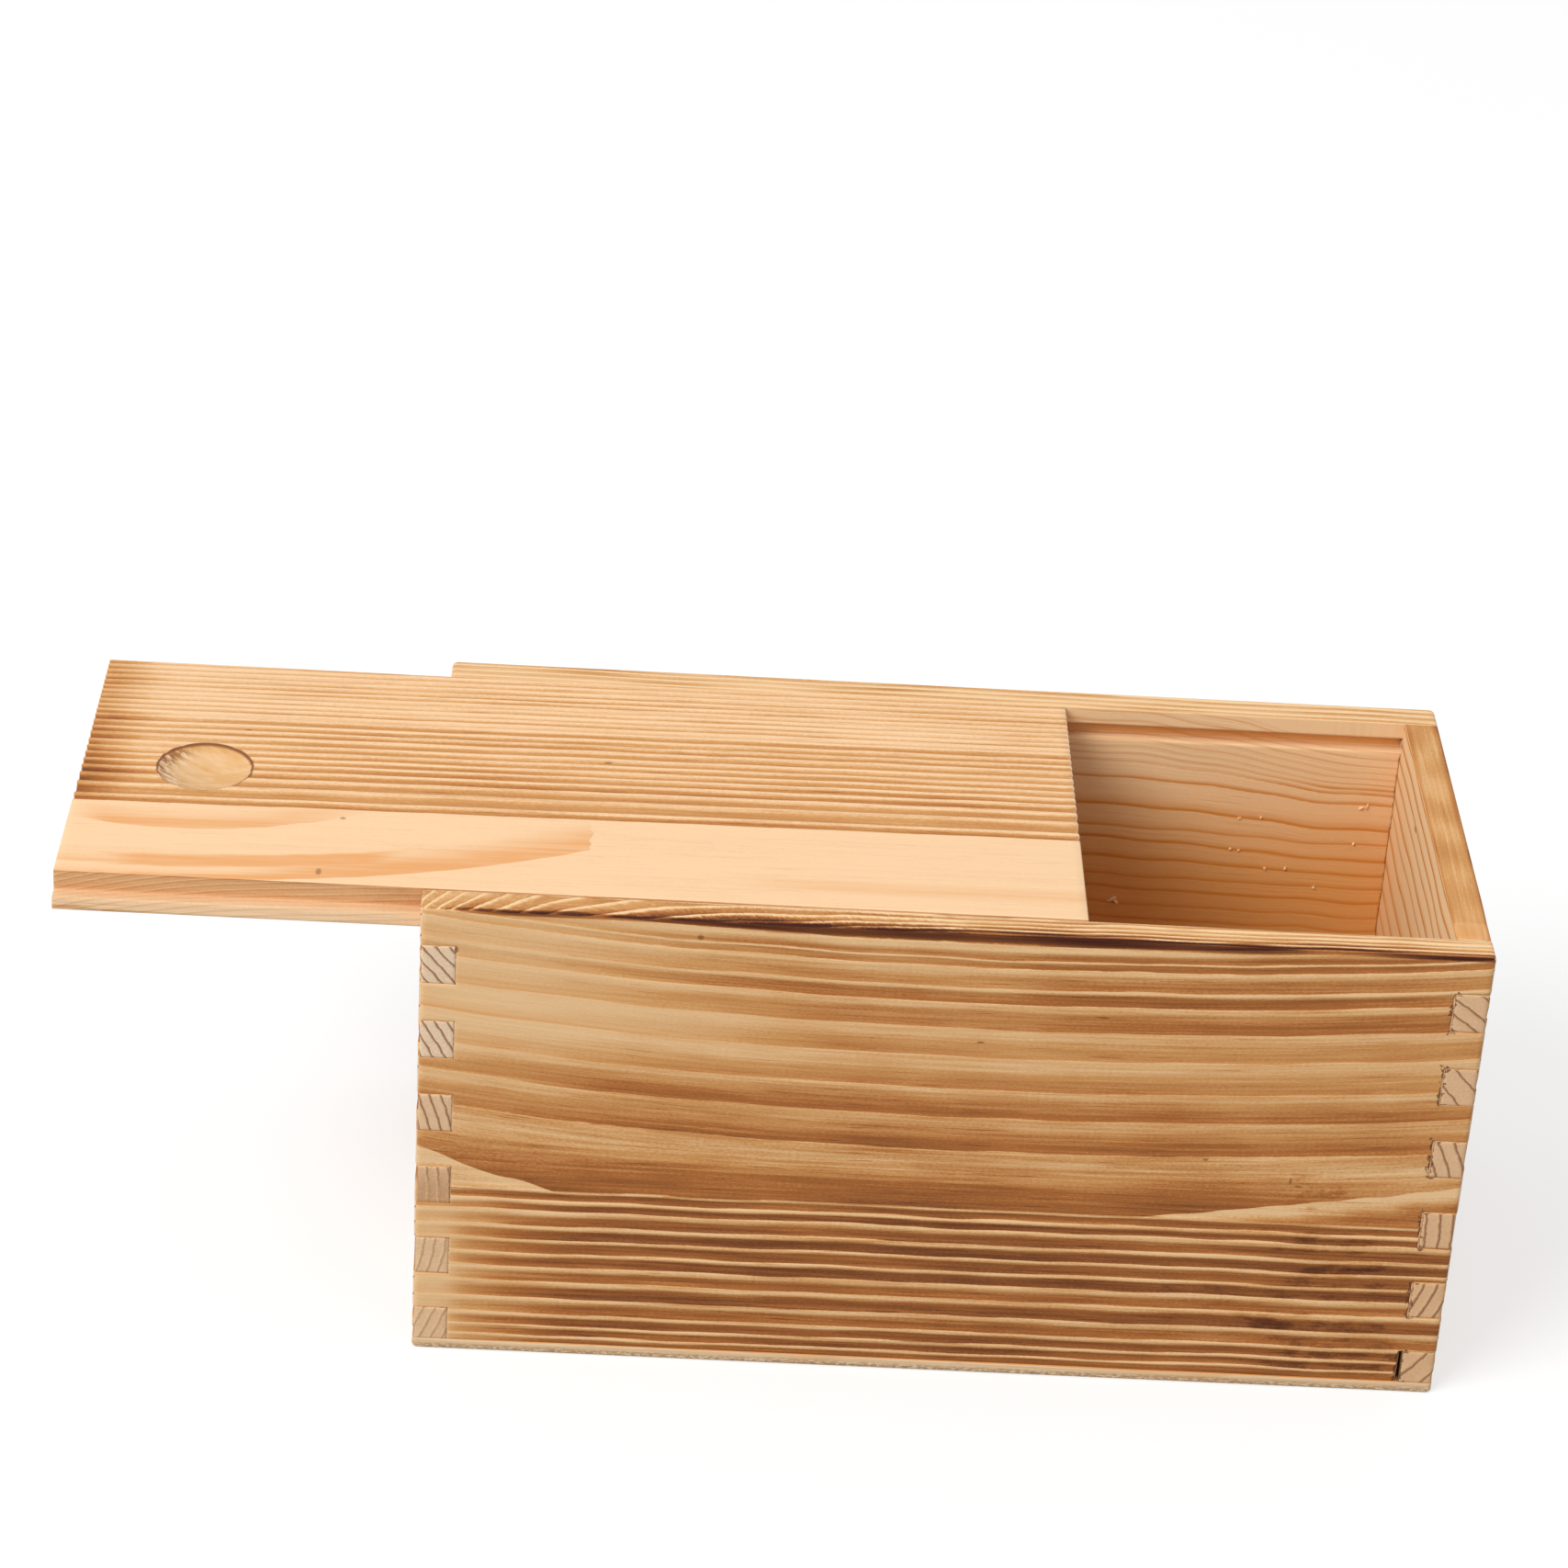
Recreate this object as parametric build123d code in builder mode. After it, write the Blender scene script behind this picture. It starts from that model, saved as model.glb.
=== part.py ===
from build123d import *
import os

# Wooden box with a sliding lid, finger-jointed at its four upright corners.
# Millimetres. The origin is the middle of the case's underside, +Z points up,
# +X runs along the case away from the end where the lid comes out, and -Y is the front.

# Case
case_length = 200.0
case_width = 98.0
wall_height = 97.6        # of the side walls, above the bottom panel
board = 6.8               # thickness of the four wall boards
bottom_thickness = 2.4

# Finger joints
finger_height = 8.2
least_finger = 1.0        # a thinner finger is left to its neighbour

# Lid and the grooves that carry it
lip_height = 3.7          # wood between the rim and the groove
groove_height = 3.1
groove_depth = 2.9
lid_thickness = 6.8
slide_clearance = 0.15    # between the lid and the groove, on every side
end_clearance = 0.5       # between the closed lid and the right end wall
lid_open = 68.5           # how far the lid stands out in the rest pose

# Thumb dish in the lid
dish_diameter = 18.5
dish_depth = 2.0
dish_inset = 23.6         # from the lid's outer end to the middle of the dish

# Brushed and worn edges
corner_radius = 1.2       # upright corners of the case
arris_radius = 0.8        # rim and underside of the case
lid_edge_radius = 0.4     # long top edges of the lid

half_length = case_length / 2
half_width = case_width / 2
rim = bottom_thickness + wall_height
inside_x = half_length - board
inside_y = half_width - board
groove_high = rim - lip_height
groove_low = groove_high - groove_height

lid_outer_end = -half_length - lid_open
lid_length = case_length - board - end_clearance
lid_low = groove_low + slide_clearance
lid_top = lid_low + lid_thickness
tongue_high = groove_high - slide_clearance
lid_half_width = inside_y - slide_clearance
tongue_half_width = inside_y + groove_depth - slide_clearance

os.makedirs("parts", exist_ok=True)


def finger_spans(top_limit):
    """Lowest and highest point of each finger of an end wall that is no higher than top_limit."""
    spans = []
    high = rim - finger_height
    while high - bottom_thickness > least_finger:
        low = max(high - finger_height, bottom_thickness)
        if low - bottom_thickness < least_finger:
            low = bottom_thickness
        if min(high, top_limit) - low > least_finger:
            spans.append((low, min(high, top_limit)))
        high -= 2 * finger_height
    return spans


left_spans = finger_spans(groove_low)
right_spans = finger_spans(rim)


def upright_slab(x_low, x_high, y_low, y_high, low, high, mode=Mode.ADD):
    """Adds or cuts a straight block, given by its faces, in the part being built."""
    with BuildSketch(Plane.XY.offset(low)) as outline:
        with Locations(((x_low + x_high) / 2, (y_low + y_high) / 2)):
            Rectangle(x_high - x_low, y_high - y_low)
    extrude(outline.sketch, amount=high - low, mode=mode)


# Outer form of the whole case, with its worn edges. Every piece of the case is cut to it.
with BuildPart() as case_form:
    upright_slab(-half_length, half_length, -half_width, half_width, 0, rim)
    fillet(case_form.edges().filter_by(Axis.Z), radius=corner_radius)
    fillet(case_form.edges().group_by(Axis.Z)[-1], radius=arris_radius)
    fillet(case_form.edges().group_by(Axis.Z)[0], radius=arris_radius)


# Bottom panel, glued under the walls
with BuildPart() as bottom_panel:
    upright_slab(-half_length, half_length, -half_width, half_width, 0, bottom_thickness)
    add(case_form.part, mode=Mode.INTERSECT)


# Front wall: slots for the fingers of both end walls, and the lid groove,
# which is open at the left end and stops at the right end wall
with BuildPart() as front_wall:
    upright_slab(-half_length, half_length, -half_width, -inside_y, bottom_thickness, rim)
    for low, high in left_spans:
        upright_slab(-half_length, -inside_x, -half_width, -inside_y, low, high, Mode.SUBTRACT)
    for low, high in right_spans:
        upright_slab(inside_x, half_length, -half_width, -inside_y, low, high, Mode.SUBTRACT)
    upright_slab(-half_length, inside_x, -inside_y - groove_depth, -inside_y, groove_low, groove_high,
                 Mode.SUBTRACT)
    add(case_form.part, mode=Mode.INTERSECT)


# Back wall, the front wall's mirror image
with BuildPart() as back_wall:
    add(mirror(front_wall.part, about=Plane.XZ))


# Left end wall: lower than the others, because the lid slides over it
with BuildPart() as left_end_wall:
    upright_slab(-half_length, -inside_x, -inside_y, inside_y, bottom_thickness, groove_low)
    for low, high in left_spans:
        upright_slab(-half_length, -inside_x, -half_width, half_width, low, high)
    add(case_form.part, mode=Mode.INTERSECT)


# Right end wall: as high as the rim, and the closed lid's stop
with BuildPart() as right_end_wall:
    upright_slab(inside_x, half_length, -inside_y, inside_y, bottom_thickness, rim)
    for low, high in right_spans:
        upright_slab(inside_x, half_length, -half_width, half_width, low, high)
    add(case_form.part, mode=Mode.INTERSECT)


# Lid: a board whose long edges are cut back to a tongue, with a shallow round thumb dish
with BuildPart() as lid:
    with BuildSketch(Plane.YZ.offset(lid_outer_end)):
        with BuildLine():
            Polyline(
                (-tongue_half_width, lid_low),
                (tongue_half_width, lid_low),
                (tongue_half_width, tongue_high),
                (lid_half_width, tongue_high),
                (lid_half_width, lid_top),
                (-lid_half_width, lid_top),
                (-lid_half_width, tongue_high),
                (-tongue_half_width, tongue_high),
                close=True,
            )
        make_face()
    extrude(amount=lid_length)
    fillet(lid.edges().filter_by(Axis.X).group_by(Axis.Z)[-1], radius=lid_edge_radius)
    dish_x = lid_outer_end + dish_inset
    with BuildSketch(Plane((dish_x, 0, lid_top), x_dir=(1, 0, 0), z_dir=(0, -1, 0))):
        with BuildLine():
            Line((0, -dish_depth), (0, 0))
            Line((0, 0), (dish_diameter / 2, 0))
            RadiusArc((dish_diameter / 2, 0), (0, -dish_depth),
                      (dish_diameter ** 2 / 4 + dish_depth ** 2) / (2 * dish_depth))
        make_face()
    revolve(axis=Axis((dish_x, 0, lid_top), (0, 0, 1)), mode=Mode.SUBTRACT)


front_wall.part.label = "front_wall"
export_step(front_wall.part, "parts/front_wall.step")

back_wall.part.label = "back_wall"
export_step(back_wall.part, "parts/back_wall.step")

left_end_wall.part.label = "left_end_wall"
export_step(left_end_wall.part, "parts/left_end_wall.step")

right_end_wall.part.label = "right_end_wall"
export_step(right_end_wall.part, "parts/right_end_wall.step")

bottom_panel.part.label = "bottom_panel"
export_step(bottom_panel.part, "parts/bottom_panel.step")

lid.part.label = "lid"
export_step(lid.part, "parts/lid.step")
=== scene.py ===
"""Looks of a finger-jointed pine box with a sliding lid, flamed and wire-brushed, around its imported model.

Shapes are worked out in millimetres in the model's own frame and put into the meshes in metres.
"""

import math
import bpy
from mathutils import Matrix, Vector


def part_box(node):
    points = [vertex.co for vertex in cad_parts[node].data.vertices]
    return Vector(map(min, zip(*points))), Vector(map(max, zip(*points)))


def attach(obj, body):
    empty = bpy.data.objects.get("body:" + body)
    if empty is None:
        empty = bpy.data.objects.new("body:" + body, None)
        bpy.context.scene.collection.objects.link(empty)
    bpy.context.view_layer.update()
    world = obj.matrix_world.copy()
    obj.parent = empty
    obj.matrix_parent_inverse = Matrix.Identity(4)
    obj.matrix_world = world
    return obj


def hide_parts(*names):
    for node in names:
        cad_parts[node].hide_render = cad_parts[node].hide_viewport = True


bl_info = {
    "name": "Wooden box with a sliding lid",
    "version": (1, 0, 0),
    "blender": (4, 5, 0),
    "location": "3D View > Sidebar > Wooden box",
    "description": "Boards of a flamed and brushed pine box, each with its own grain",
    "category": "Object",
}

import bmesh
import bpy
import numpy as np
from bpy.props import FloatProperty, FloatVectorProperty, PointerProperty
from mathutils import Vector

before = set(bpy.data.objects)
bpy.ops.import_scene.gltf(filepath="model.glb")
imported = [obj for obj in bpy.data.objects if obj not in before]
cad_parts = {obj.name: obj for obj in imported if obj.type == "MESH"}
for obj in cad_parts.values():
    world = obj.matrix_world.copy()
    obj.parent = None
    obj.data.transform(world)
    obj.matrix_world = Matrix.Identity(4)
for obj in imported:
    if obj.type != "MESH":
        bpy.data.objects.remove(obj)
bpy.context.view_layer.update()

MM = 0.001
# A distance that counts as far away, and one too short to divide by, in millimetres
FAR, TINY = 9.0, 1e-9
# A count may miss a whole number by this much
ROUNDING = 1e-6
# The sides that a face of a board can look to
LOW_X, HIGH_X, LOW_Y, HIGH_Y, LOW_Z, HIGH_Z = range(6)
SIDE_NORMALS = np.array([(-1, 0, 0), (1, 0, 0), (0, -1, 0), (0, 1, 0), (0, 0, -1), (0, 0, 1)], float)


def cad_corners(node):
    """Lowest and highest corner of a CAD node in millimetres, to a hundredth."""
    return np.round(np.array(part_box(node)) / MM, 2).tolist()


FRONT_LOW, FRONT_HIGH = cad_corners("front_wall")
HALF_LENGTH, HALF_WIDTH, INSIDE_Y = FRONT_HIGH[0], -FRONT_LOW[1], -FRONT_HIGH[1]
INSIDE_X = HALF_LENGTH - (HALF_WIDTH - INSIDE_Y)
FOOT, RIM = FRONT_LOW[2], FRONT_HIGH[2]
GROOVE_LOW = cad_corners("left_end_wall")[1][2]
(LID_LOW_X, _, LID_LOW_Z), (LID_HIGH_X, LID_REACH, LID_TOP) = cad_corners("lid")


def length(name, value, description):
    """A size in millimetres, kept as Blender's metres."""
    return FloatProperty(name=name, default=value * MM, min=0.0, precision=5, subtype="DISTANCE",
                         unit="LENGTH", description=description)


def share(name, value, description):
    """A plain number from 0 to 2."""
    return FloatProperty(name=name, default=value, min=0.0, max=2.0, subtype="FACTOR",
                         description=description)


def colour(name, value, description):
    """A linear colour."""
    return FloatVectorProperty(name=name, default=value, size=3, min=0.0, max=1.0, subtype="COLOR",
                               description=description)


class BoxSizes(bpy.types.PropertyGroup):
    """Sizes of the joints, the lid and the worn edges"""

    finger_height: length("Finger height", 8.2, "Height of one finger of the corner joints")
    least_finger: length("Least finger", 1.0, "A thinner finger is left to its neighbour")
    groove_height: length("Groove height", 3.1, "Height of the groove that carries the lid")
    groove_depth: length("Groove depth", 2.9, "Depth of the groove that carries the lid")
    tongue_height: length("Tongue height", 2.8, "Thickness of the lid's tongues")
    tongue_reach: length("Tongue reach", 2.9, "How far the lid's tongues stand out")
    dish_diameter: length("Dish diameter", 18.5, "Width of the thumb dish")
    dish_depth: length("Dish depth", 2.0, "Depth of the thumb dish")
    dish_inset: length("Dish inset", 23.6, "From the lid's outer end to the middle of the dish")
    corner_radius: length("Corner radius", 1.2, "Wear of the upright corners")
    arris_radius: length("Arris radius", 0.8, "Wear of the rim and of the foot")
    lid_edge_radius: length("Lid edge radius", 0.4, "Wear of the lid's long top edges")
    easing: length("Easing", 0.09, "How much every other edge is taken off")


class BoxWood(bpy.types.PropertyGroup):
    """Brushing, flaming and colours of the wood"""

    brush_depth: length("Brush depth", 0.4, "How deep the brush cut the soft wood of the walls")
    lid_brush_depth: length("Lid brush depth", 0.34, "How deep the brush cut the lid's striped part")
    ridge_scale: share("Ridge width", 1.0, "Width of the hard ridges of the year rings, 1 as on the real box")
    flaming: share("Flaming", 1.0, "How strongly the walls were flamed")
    lid_flaming: share("Lid flaming", 1.0, "How strongly the lid was flamed")
    pale: colour("Pale wood", (0.86, 0.57, 0.30), "Hard ridges and unflamed wood of the walls")
    tan: colour("Tan wood", (0.69, 0.35, 0.125), "Lightly flamed wood")
    brown: colour("Brown wood", (0.46, 0.165, 0.042), "Flamed soft wood")
    dark: colour("Dark wood", (0.20, 0.065, 0.021), "Strongly flamed soft wood")
    char: colour("Char", (0.055, 0.012, 0.006), "Charred specks and edges")
    # Also painted shade over the faces of the open slot by the lowest right finger
    seam: colour("Seam", (0.12, 0.042, 0.018), "Torn fibres along the joints")
    late: colour("Late wood", (0.70, 0.27, 0.05), "Growth lines of unflamed wood")
    bare: colour("Bare wood", (0.97, 0.67, 0.38), "Unflamed wood inside the box, near the rim")
    # Painted shade: the colour that bare wood inside turns to low in the box and in the lid groove
    bare_deep: colour("Bare wood low down", (0.82, 0.40, 0.125), "Unflamed wood inside, near the bottom")
    end_grain: colour("End grain", (0.87, 0.71, 0.53), "Ends of the boards")
    end_line: colour("End grain line", (0.32, 0.15, 0.068), "Growth lines on the ends of the boards")
    lid_pale: colour("Lid's pale wood", (0.98, 0.66, 0.39), "Unflamed wood of the lid")
    lid_orange: colour("Lid's late wood", (0.86, 0.42, 0.165), "Broad growth marks of the lid")
    panel: colour("Panel", (0.80, 0.59, 0.37), "Bottom panel")
    panel_dark: colour("Panel's rough ply", (0.42, 0.25, 0.12), "Rough lower ply of the bottom panel")


class BoxStage(bpy.types.PropertyGroup):
    """Floor, light and camera"""

    floor: colour("Floor", (0.46, 0.46, 0.46), "Colour of the floor")
    sky: share("Sky", 0.60, "Strength of the even light from all round")
    lamp: FloatProperty(name="Lamp", default=53.0, min=0.0, unit="POWER", description="Power of the lamp")
    lamp_size: length("Lamp size", 1500.0, "Side of the square lamp")
    lens: FloatProperty(name="Lens", default=107.48, min=1.0, description="Focal length for a 36 mm sensor")


def sizes():
    """The sizes in millimetres, by name."""
    group = bpy.context.scene.wooden_box_sizes
    return {key: getattr(group, key) / MM for key in BoxSizes.__annotations__}


def wood():
    """The finish's settings."""
    return bpy.context.scene.wooden_box_wood


def ease(value, start, stop):
    """Smooth step: 0 before start, 1 after stop, and 3s^2 - 2s^3 of the share s between.

    Start may lie above stop.
    """
    s = np.clip((value - start) / (stop - start), 0, 1)
    return s * s * (3 - 2 * s)


def within(value, low, high, soft):
    """1 between low and high, falling smoothly to 0 over soft on both sides."""
    return ease(value, low - soft, low) * ease(value, high + soft, high)


def sway(seed, along, across, wave, span, terms=7):
    """Slow waver of about -1 to 1: a sum of sines, near wave long along the grain and slanted over span."""
    rng = np.random.default_rng(seed)
    paces, slants, starts = rng.uniform(0.5, 2.2, terms), rng.uniform(-1, 1, terms), rng.uniform(0, 9, terms)
    total = np.zeros_like(along)
    for pace, slant, start in zip(paces, slants, starts):
        total += np.sin(2 * np.pi * (pace * along / wave + slant * across / span) + start)
    return total / math.sqrt(terms)


def growth_rings(edges, height):
    """Ring number and ring width at each height.

    Edges are the sharp sides of the rings from the highest down. The number rises evenly by 1 from one edge
    to the next, and the width is the distance between the two.
    """
    number = np.zeros_like(height)
    width = np.full_like(height, 3.0)
    for upper, lower in zip(edges, edges[1:]):
        gap = np.maximum(upper - lower, 0.05)
        number = number + np.clip((upper - height) / gap, 0, 1)
        width = np.where(height <= upper, gap, width)
    return number, width


def ring_value(values, number):
    """The value of each ring, by ring number."""
    return np.asarray(values)[np.clip(np.floor(number + ROUNDING), 0, len(values) - 1).astype(int)]


def lattice(*stretches):
    """Lattice lines: a first place, then pairs of a place and the longest step allowed on the way to it."""
    lines = [[stretches[0]]]
    here = stretches[0]
    for stop, step in stretches[1:]:
        count = max(1, math.ceil((stop - here) / step - ROUNDING))
        lines.append(np.linspace(here, stop, count + 1)[1:])
        here = stop
    return np.concatenate(lines)


def middles(xs, ys, zs):
    """Middle points of the lattice's cells, as three arrays over the cells."""
    return np.meshgrid(*[(line[1:] + line[:-1]) / 2 for line in (xs, ys, zs)], indexing="ij")


def skin(lines, solid):
    """Skin of the solid cells of a lattice: a quad wherever a solid cell meets air, turned outwards.

    A cell's side at place i along an axis joins the lattice points at i, or i + 1, over the other two axes.
    Gives the points, the quads and the side that each quad faces.
    """
    shape = [len(line) for line in lines]
    number = np.arange(np.prod(shape)).reshape(shape)
    padded = np.pad(solid, 1)
    quads, sides = [], []
    for axis in range(3):
        for way in (0, 1):
            neighbour = np.roll(padded, 1 - 2 * way, axis)
            cells = np.array(np.nonzero((padded & ~neighbour)[1:-1, 1:-1, 1:-1]))
            cells[axis] += way
            second, third = (axis + 1) % 3, (axis + 2) % 3
            turn = [(0, 0), (1, 0), (1, 1), (0, 1)] if way else [(0, 0), (0, 1), (1, 1), (1, 0)]
            corners = []
            for step_two, step_three in turn:
                place = cells.copy()
                place[second] += step_two
                place[third] += step_three
                corners.append(number[tuple(place)])
            quads.append(np.stack(corners, 1))
            sides.append(np.full(cells.shape[1], 2 * axis + way))
    quads = np.concatenate(quads)
    used, flat = np.unique(quads, return_inverse=True)
    places = np.unravel_index(used, shape)
    points = np.stack([np.asarray(line)[place] for line, place in zip(lines, places)], 1)
    return points, flat.reshape(quads.shape), np.concatenate(sides)


def press(points, quads, side, depth, edge_depth):
    """Points moved inwards, on each side that they belong to, by that side's depth; edges a little more."""
    moved = points.copy()
    belongs = np.zeros((6, len(points)), bool)
    depths = np.zeros((6, len(points)))
    for which in range(6):
        on_side = side == which
        belongs[which, quads[on_side]] = True
        depths[which, quads[on_side]] = depth[on_side]
    at_edge = belongs.sum(0) > 1
    for which in range(6):
        push = np.where(belongs[which], depths[which] + edge_depth * at_edge, 0)
        moved -= push[:, None] * SIDE_NORMALS[which]
    return moved


def rounding_share(one, two, radius, near):
    """Share by which points near an edge draw in to its quarter circle, from both distances to its middle."""
    return np.where(near, np.minimum(radius / np.maximum(np.hypot(one, two), TINY), 1), 1)


def worn(points, size):
    """Points of the case drawn in to its worn form.

    In plan the form is a rectangle with rounded corners. A point within the arris radius of both that outline
    and the rim or foot is drawn in to a quarter circle between them.
    """
    out = points.copy()
    corner, arris = size["corner_radius"], size["arris_radius"]
    sign = np.sign(points[:, :2])
    reach = np.abs(points[:, :2]) - (np.array([HALF_LENGTH, HALF_WIDTH]) - corner)
    span = np.hypot(*np.maximum(reach, 0).T)
    pull = np.where(span > corner, corner / np.maximum(span, TINY), 1)[:, None]
    in_corner = (reach > 0).all(1)[:, None]
    reach = np.where(in_corner, reach * pull, reach)
    out[:, :2] = sign * (reach + np.array([HALF_LENGTH, HALF_WIDTH]) - corner)
    outward = np.where(in_corner, np.maximum(reach, 0), (reach == reach.max(1, keepdims=True)) * 1.0)
    outward /= np.maximum(np.hypot(*outward.T), TINY)[:, None]
    gap = np.where(in_corner[:, 0], corner - np.hypot(*np.maximum(reach, 0).T), corner - reach.max(1))
    for limit, way in ((RIM, 1), (0.0, -1)):
        rise = (limit - out[:, 2]) * way
        near = (gap < arris) & (rise < arris)
        one, two = arris - gap, arris - rise
        draw = rounding_share(one, two, arris, near)
        out[:, :2] -= (one * (1 - draw))[:, None] * outward * sign * near[:, None]
        out[:, 2] = np.where(near, limit - way * (arris - two * draw), out[:, 2])
    return out


# Faces that meet at a sharper turn than this are shaded apart
SHARP_ANGLE = math.radians(58)


def make_mesh(name, points, quads, fields):
    """A smooth mesh in metres from points in millimetres, with the fields as values on its face corners."""
    mesh = bpy.data.meshes.new(name)
    mesh.from_pydata((points * MM).tolist(), [], quads.tolist())
    mesh.polygons.foreach_set("use_smooth", np.ones(len(quads), bool))
    for key, values in fields.items():
        kind, holder = ("FLOAT_VECTOR", "vector") if values.ndim == 3 else ("FLOAT", "value")
        made = mesh.attributes.new(key, kind, "CORNER")
        made.data.foreach_set(holder, values.astype(np.float32).ravel())
    mesh.set_sharp_from_angle(angle=SHARP_ANGLE)
    mesh.update()
    return mesh


def place_piece(name, mesh, body, slot, material, *nodes):
    """The mesh as a piece that rides on a body, with its material, and stands for CAD nodes, which it hides.
    The slot is not used.
    """
    mesh.materials.append(material)
    piece = bpy.data.objects.new(name, mesh)
    bpy.context.scene.collection.objects.link(piece)
    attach(piece, body)
    if nodes:
        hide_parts(*nodes)


def make_board(name, node, lines, solid, look, material, body="case", slot="wall_wood", wear=worn):
    """A board: the skin of its lattice, its look worked out at every face corner, brushed and worn."""
    size = sizes()
    points, quads, side = skin(lines, solid)
    x, y, z = np.moveaxis(points[quads], 2, 0)
    fields = look(x, y, z, np.broadcast_to(side[:, None], x.shape))
    depth = np.maximum(fields.pop("relief"), 0)
    moved = wear(press(points, quads, side, depth, size["easing"]), size)
    place_piece(name, make_mesh(name, moved, quads, fields), body, slot, material, node)


def finger_spans(size, top_limit):
    """Lowest and highest point of each finger of an end wall that is no higher than top_limit."""
    spans = []
    high = RIM - size["finger_height"]
    while high - FOOT > size["least_finger"]:
        low = max(high - size["finger_height"], FOOT)
        if low - FOOT < size["least_finger"]:
            low = FOOT
        if min(high, top_limit) - low > size["least_finger"]:
            spans.append((low, min(high, top_limit)))
        high -= 2 * size["finger_height"]
    return spans


def in_groove(z, size):
    """Whether a height lies within the lid groove."""
    return (z > GROOVE_LOW) & (z < GROOVE_LOW + size["groove_height"])


# Longest step of the lattice up a wall, in millimetres
UPRIGHT_STEP = 0.36


def upright_lines(size):
    """Lattice lines up a wall, with a line at every finger and groove edge."""
    stops = {GROOVE_LOW, GROOVE_LOW + size["groove_height"], RIM - 0.8}
    for low, high in finger_spans(size, RIM):
        stops |= {low, high}
    stops = sorted(stop for stop in stops if FOOT + 0.3 < stop < RIM - 0.3)
    return lattice(FOOT, (FOOT + 0.3, 0.3), *[(stop, UPRIGHT_STEP) for stop in stops], (RIM, 0.2))


def seam_distance(x, z, spans, low, high):
    """Distance from the outline of the nearest finger, each being a rectangle from low to high in x."""
    best = np.full_like(x, FAR)
    for bottom, top in spans:
        outside = np.maximum.reduce([low - x, x - high, bottom - z, z - top])
        best = np.minimum(best, np.abs(outside))
    return best


def soft_wood(number, width, ridge):
    """Share of the brush's depth: 0 on the ridge at a ring's sharp side, then more up to the next ring."""
    away = (number % 1) * width
    cut = 0.5 * ease(away, ridge * 0.5, ridge * 1.6) + 0.5 * ease(away, ridge * 0.8, width)
    return cut * ease(width - away, 0.0, np.clip(0.14 * width, 0.25, 0.9))


def blank_fields(x, along, across, through):
    """Fields of plain wood at each face corner. Grain is the place along, across and through the grain."""
    return {
        "ring": np.zeros_like(x),
        "width": np.full_like(x, 4.0),
        "ridge": np.full_like(x, 0.8),
        "late": np.full_like(x, 1.0),
        "burn": np.zeros_like(x),
        "char": np.zeros_like(x),
        "ends": np.zeros_like(x),
        "seam": np.full_like(x, FAR),
        "ragged": np.zeros_like(x),
        "relief": np.zeros_like(x),
        "wedge": np.zeros_like(x),
        "wedge_depth": np.full_like(x, -FAR),
        "bare": np.zeros_like(x),
        # Share of painted shade on bare wood inside, low in the box and in the lid groove
        "deep": np.zeros_like(x),
        "grain": np.stack([along, across, through], -1),
    }


# The front face's rings from the rim down: height of the sharp upper side at mid length, width of the pale
# ridge, and strength. Those above the wedges curve up at both ends, and those below are straight.
FRONT_ABOVE = ((106.5, 1.6, 0.7), (102.4, 1.6, 0.7), (97.9, 1.8, 0.8), (94.7, 0.4, 0.8), (92.9, 1.5, 0.9),
               (88.4, 0.9, 1.0), (85.0, 1.5, 0.9), (79.3, 2.2, 0.8), (73.0, 2.8, 0.8), (65.8, 1.4, 1.0),
               (59.5, 1.5, 1.0), (52.0, 2.6, 1.15))
FRONT_BELOW = ((38.5, 0.55, 1.0), (36.3, 0.9, 1.0), (33.9, 1.15, 1.0), (30.4, 1.0, 1.05), (27.2, 0.8, 1.05),
               (24.0, 0.8, 1.05), (20.9, 1.25, 0.95), (17.4, 1.25, 1.0), (13.4, 1.1, 1.0), (9.7, 0.9, 1.1),
               (6.9, 0.75, 1.05), (4.5, 0.6, 1.0), (1.6, 0.6, 1.0))
FRONT_RINGS = (*FRONT_ABOVE, *FRONT_BELOW)


def ring_rise(x):
    """How far the upper rings of the long walls curve up: a power of the distance from mid length."""
    return np.where(x < 0, 5.8, 5.0) * np.abs(x / 100) ** 2.3


def straight_drift(x):
    """How far the straight rings climb towards the right."""
    return 0.35 * x / 100


def front_ring_edges(x):
    """Ring edges of the front face: curved up at both ends in the upper part, straight in the lower one."""
    edges = [ring[0] + ring_rise(x) for ring in FRONT_ABOVE]
    return edges + [ring[0] + straight_drift(x) for ring in FRONT_BELOW] + [-2.0 + 0 * x]


def wedge_depth(x, z):
    """Distance below the upper edge of the two pale wedges, which lie on the straight rings at both ends."""
    left = 38.4 + 9.0 * np.clip((-x - 74) / 26, -0.2, 1) - 0.9 * within(x, -90, -84, 6)
    right = 38.4 + 10.2 * np.sign(x - 36) * np.abs((x - 36) / 64) ** 1.15
    return np.where(x < 0, left, right) + 0.12 * sway(13, x, x * 0, 18, 9) - z


def front_flame(x, z):
    """How far the front face was flamed: most low down and in the middle, least at both left corners."""
    flame = 0.58 + 0.06 * sway(11, x, z, 90, 30)
    flame += 0.10 * within(z, 40, 50, 6) + 0.25 * ease(z, 39.5, 37.5)
    flame -= 0.46 * ease(x, -35, -90) * ease(z, 64, 84)
    flame -= 0.12 * ease(x, -60, -98) * within(z, 50, 66, 8)
    flame -= 0.16 * within(z, 70, 80, 4) * ease(x, 60, 0)
    flame -= 0.54 * ease(x, -66, -97) * ease(z, 41, 34)
    flame -= 0.10 * ease(x, 84, 98)
    flame += 0.04 * within(x, -45, 100, 30) * within(z, 50, 62, 4)
    flame += 0.14 * ease(x, 10, 60) * ease(z, 76, 84)
    return np.clip(flame, 0.04, 1)


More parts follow.
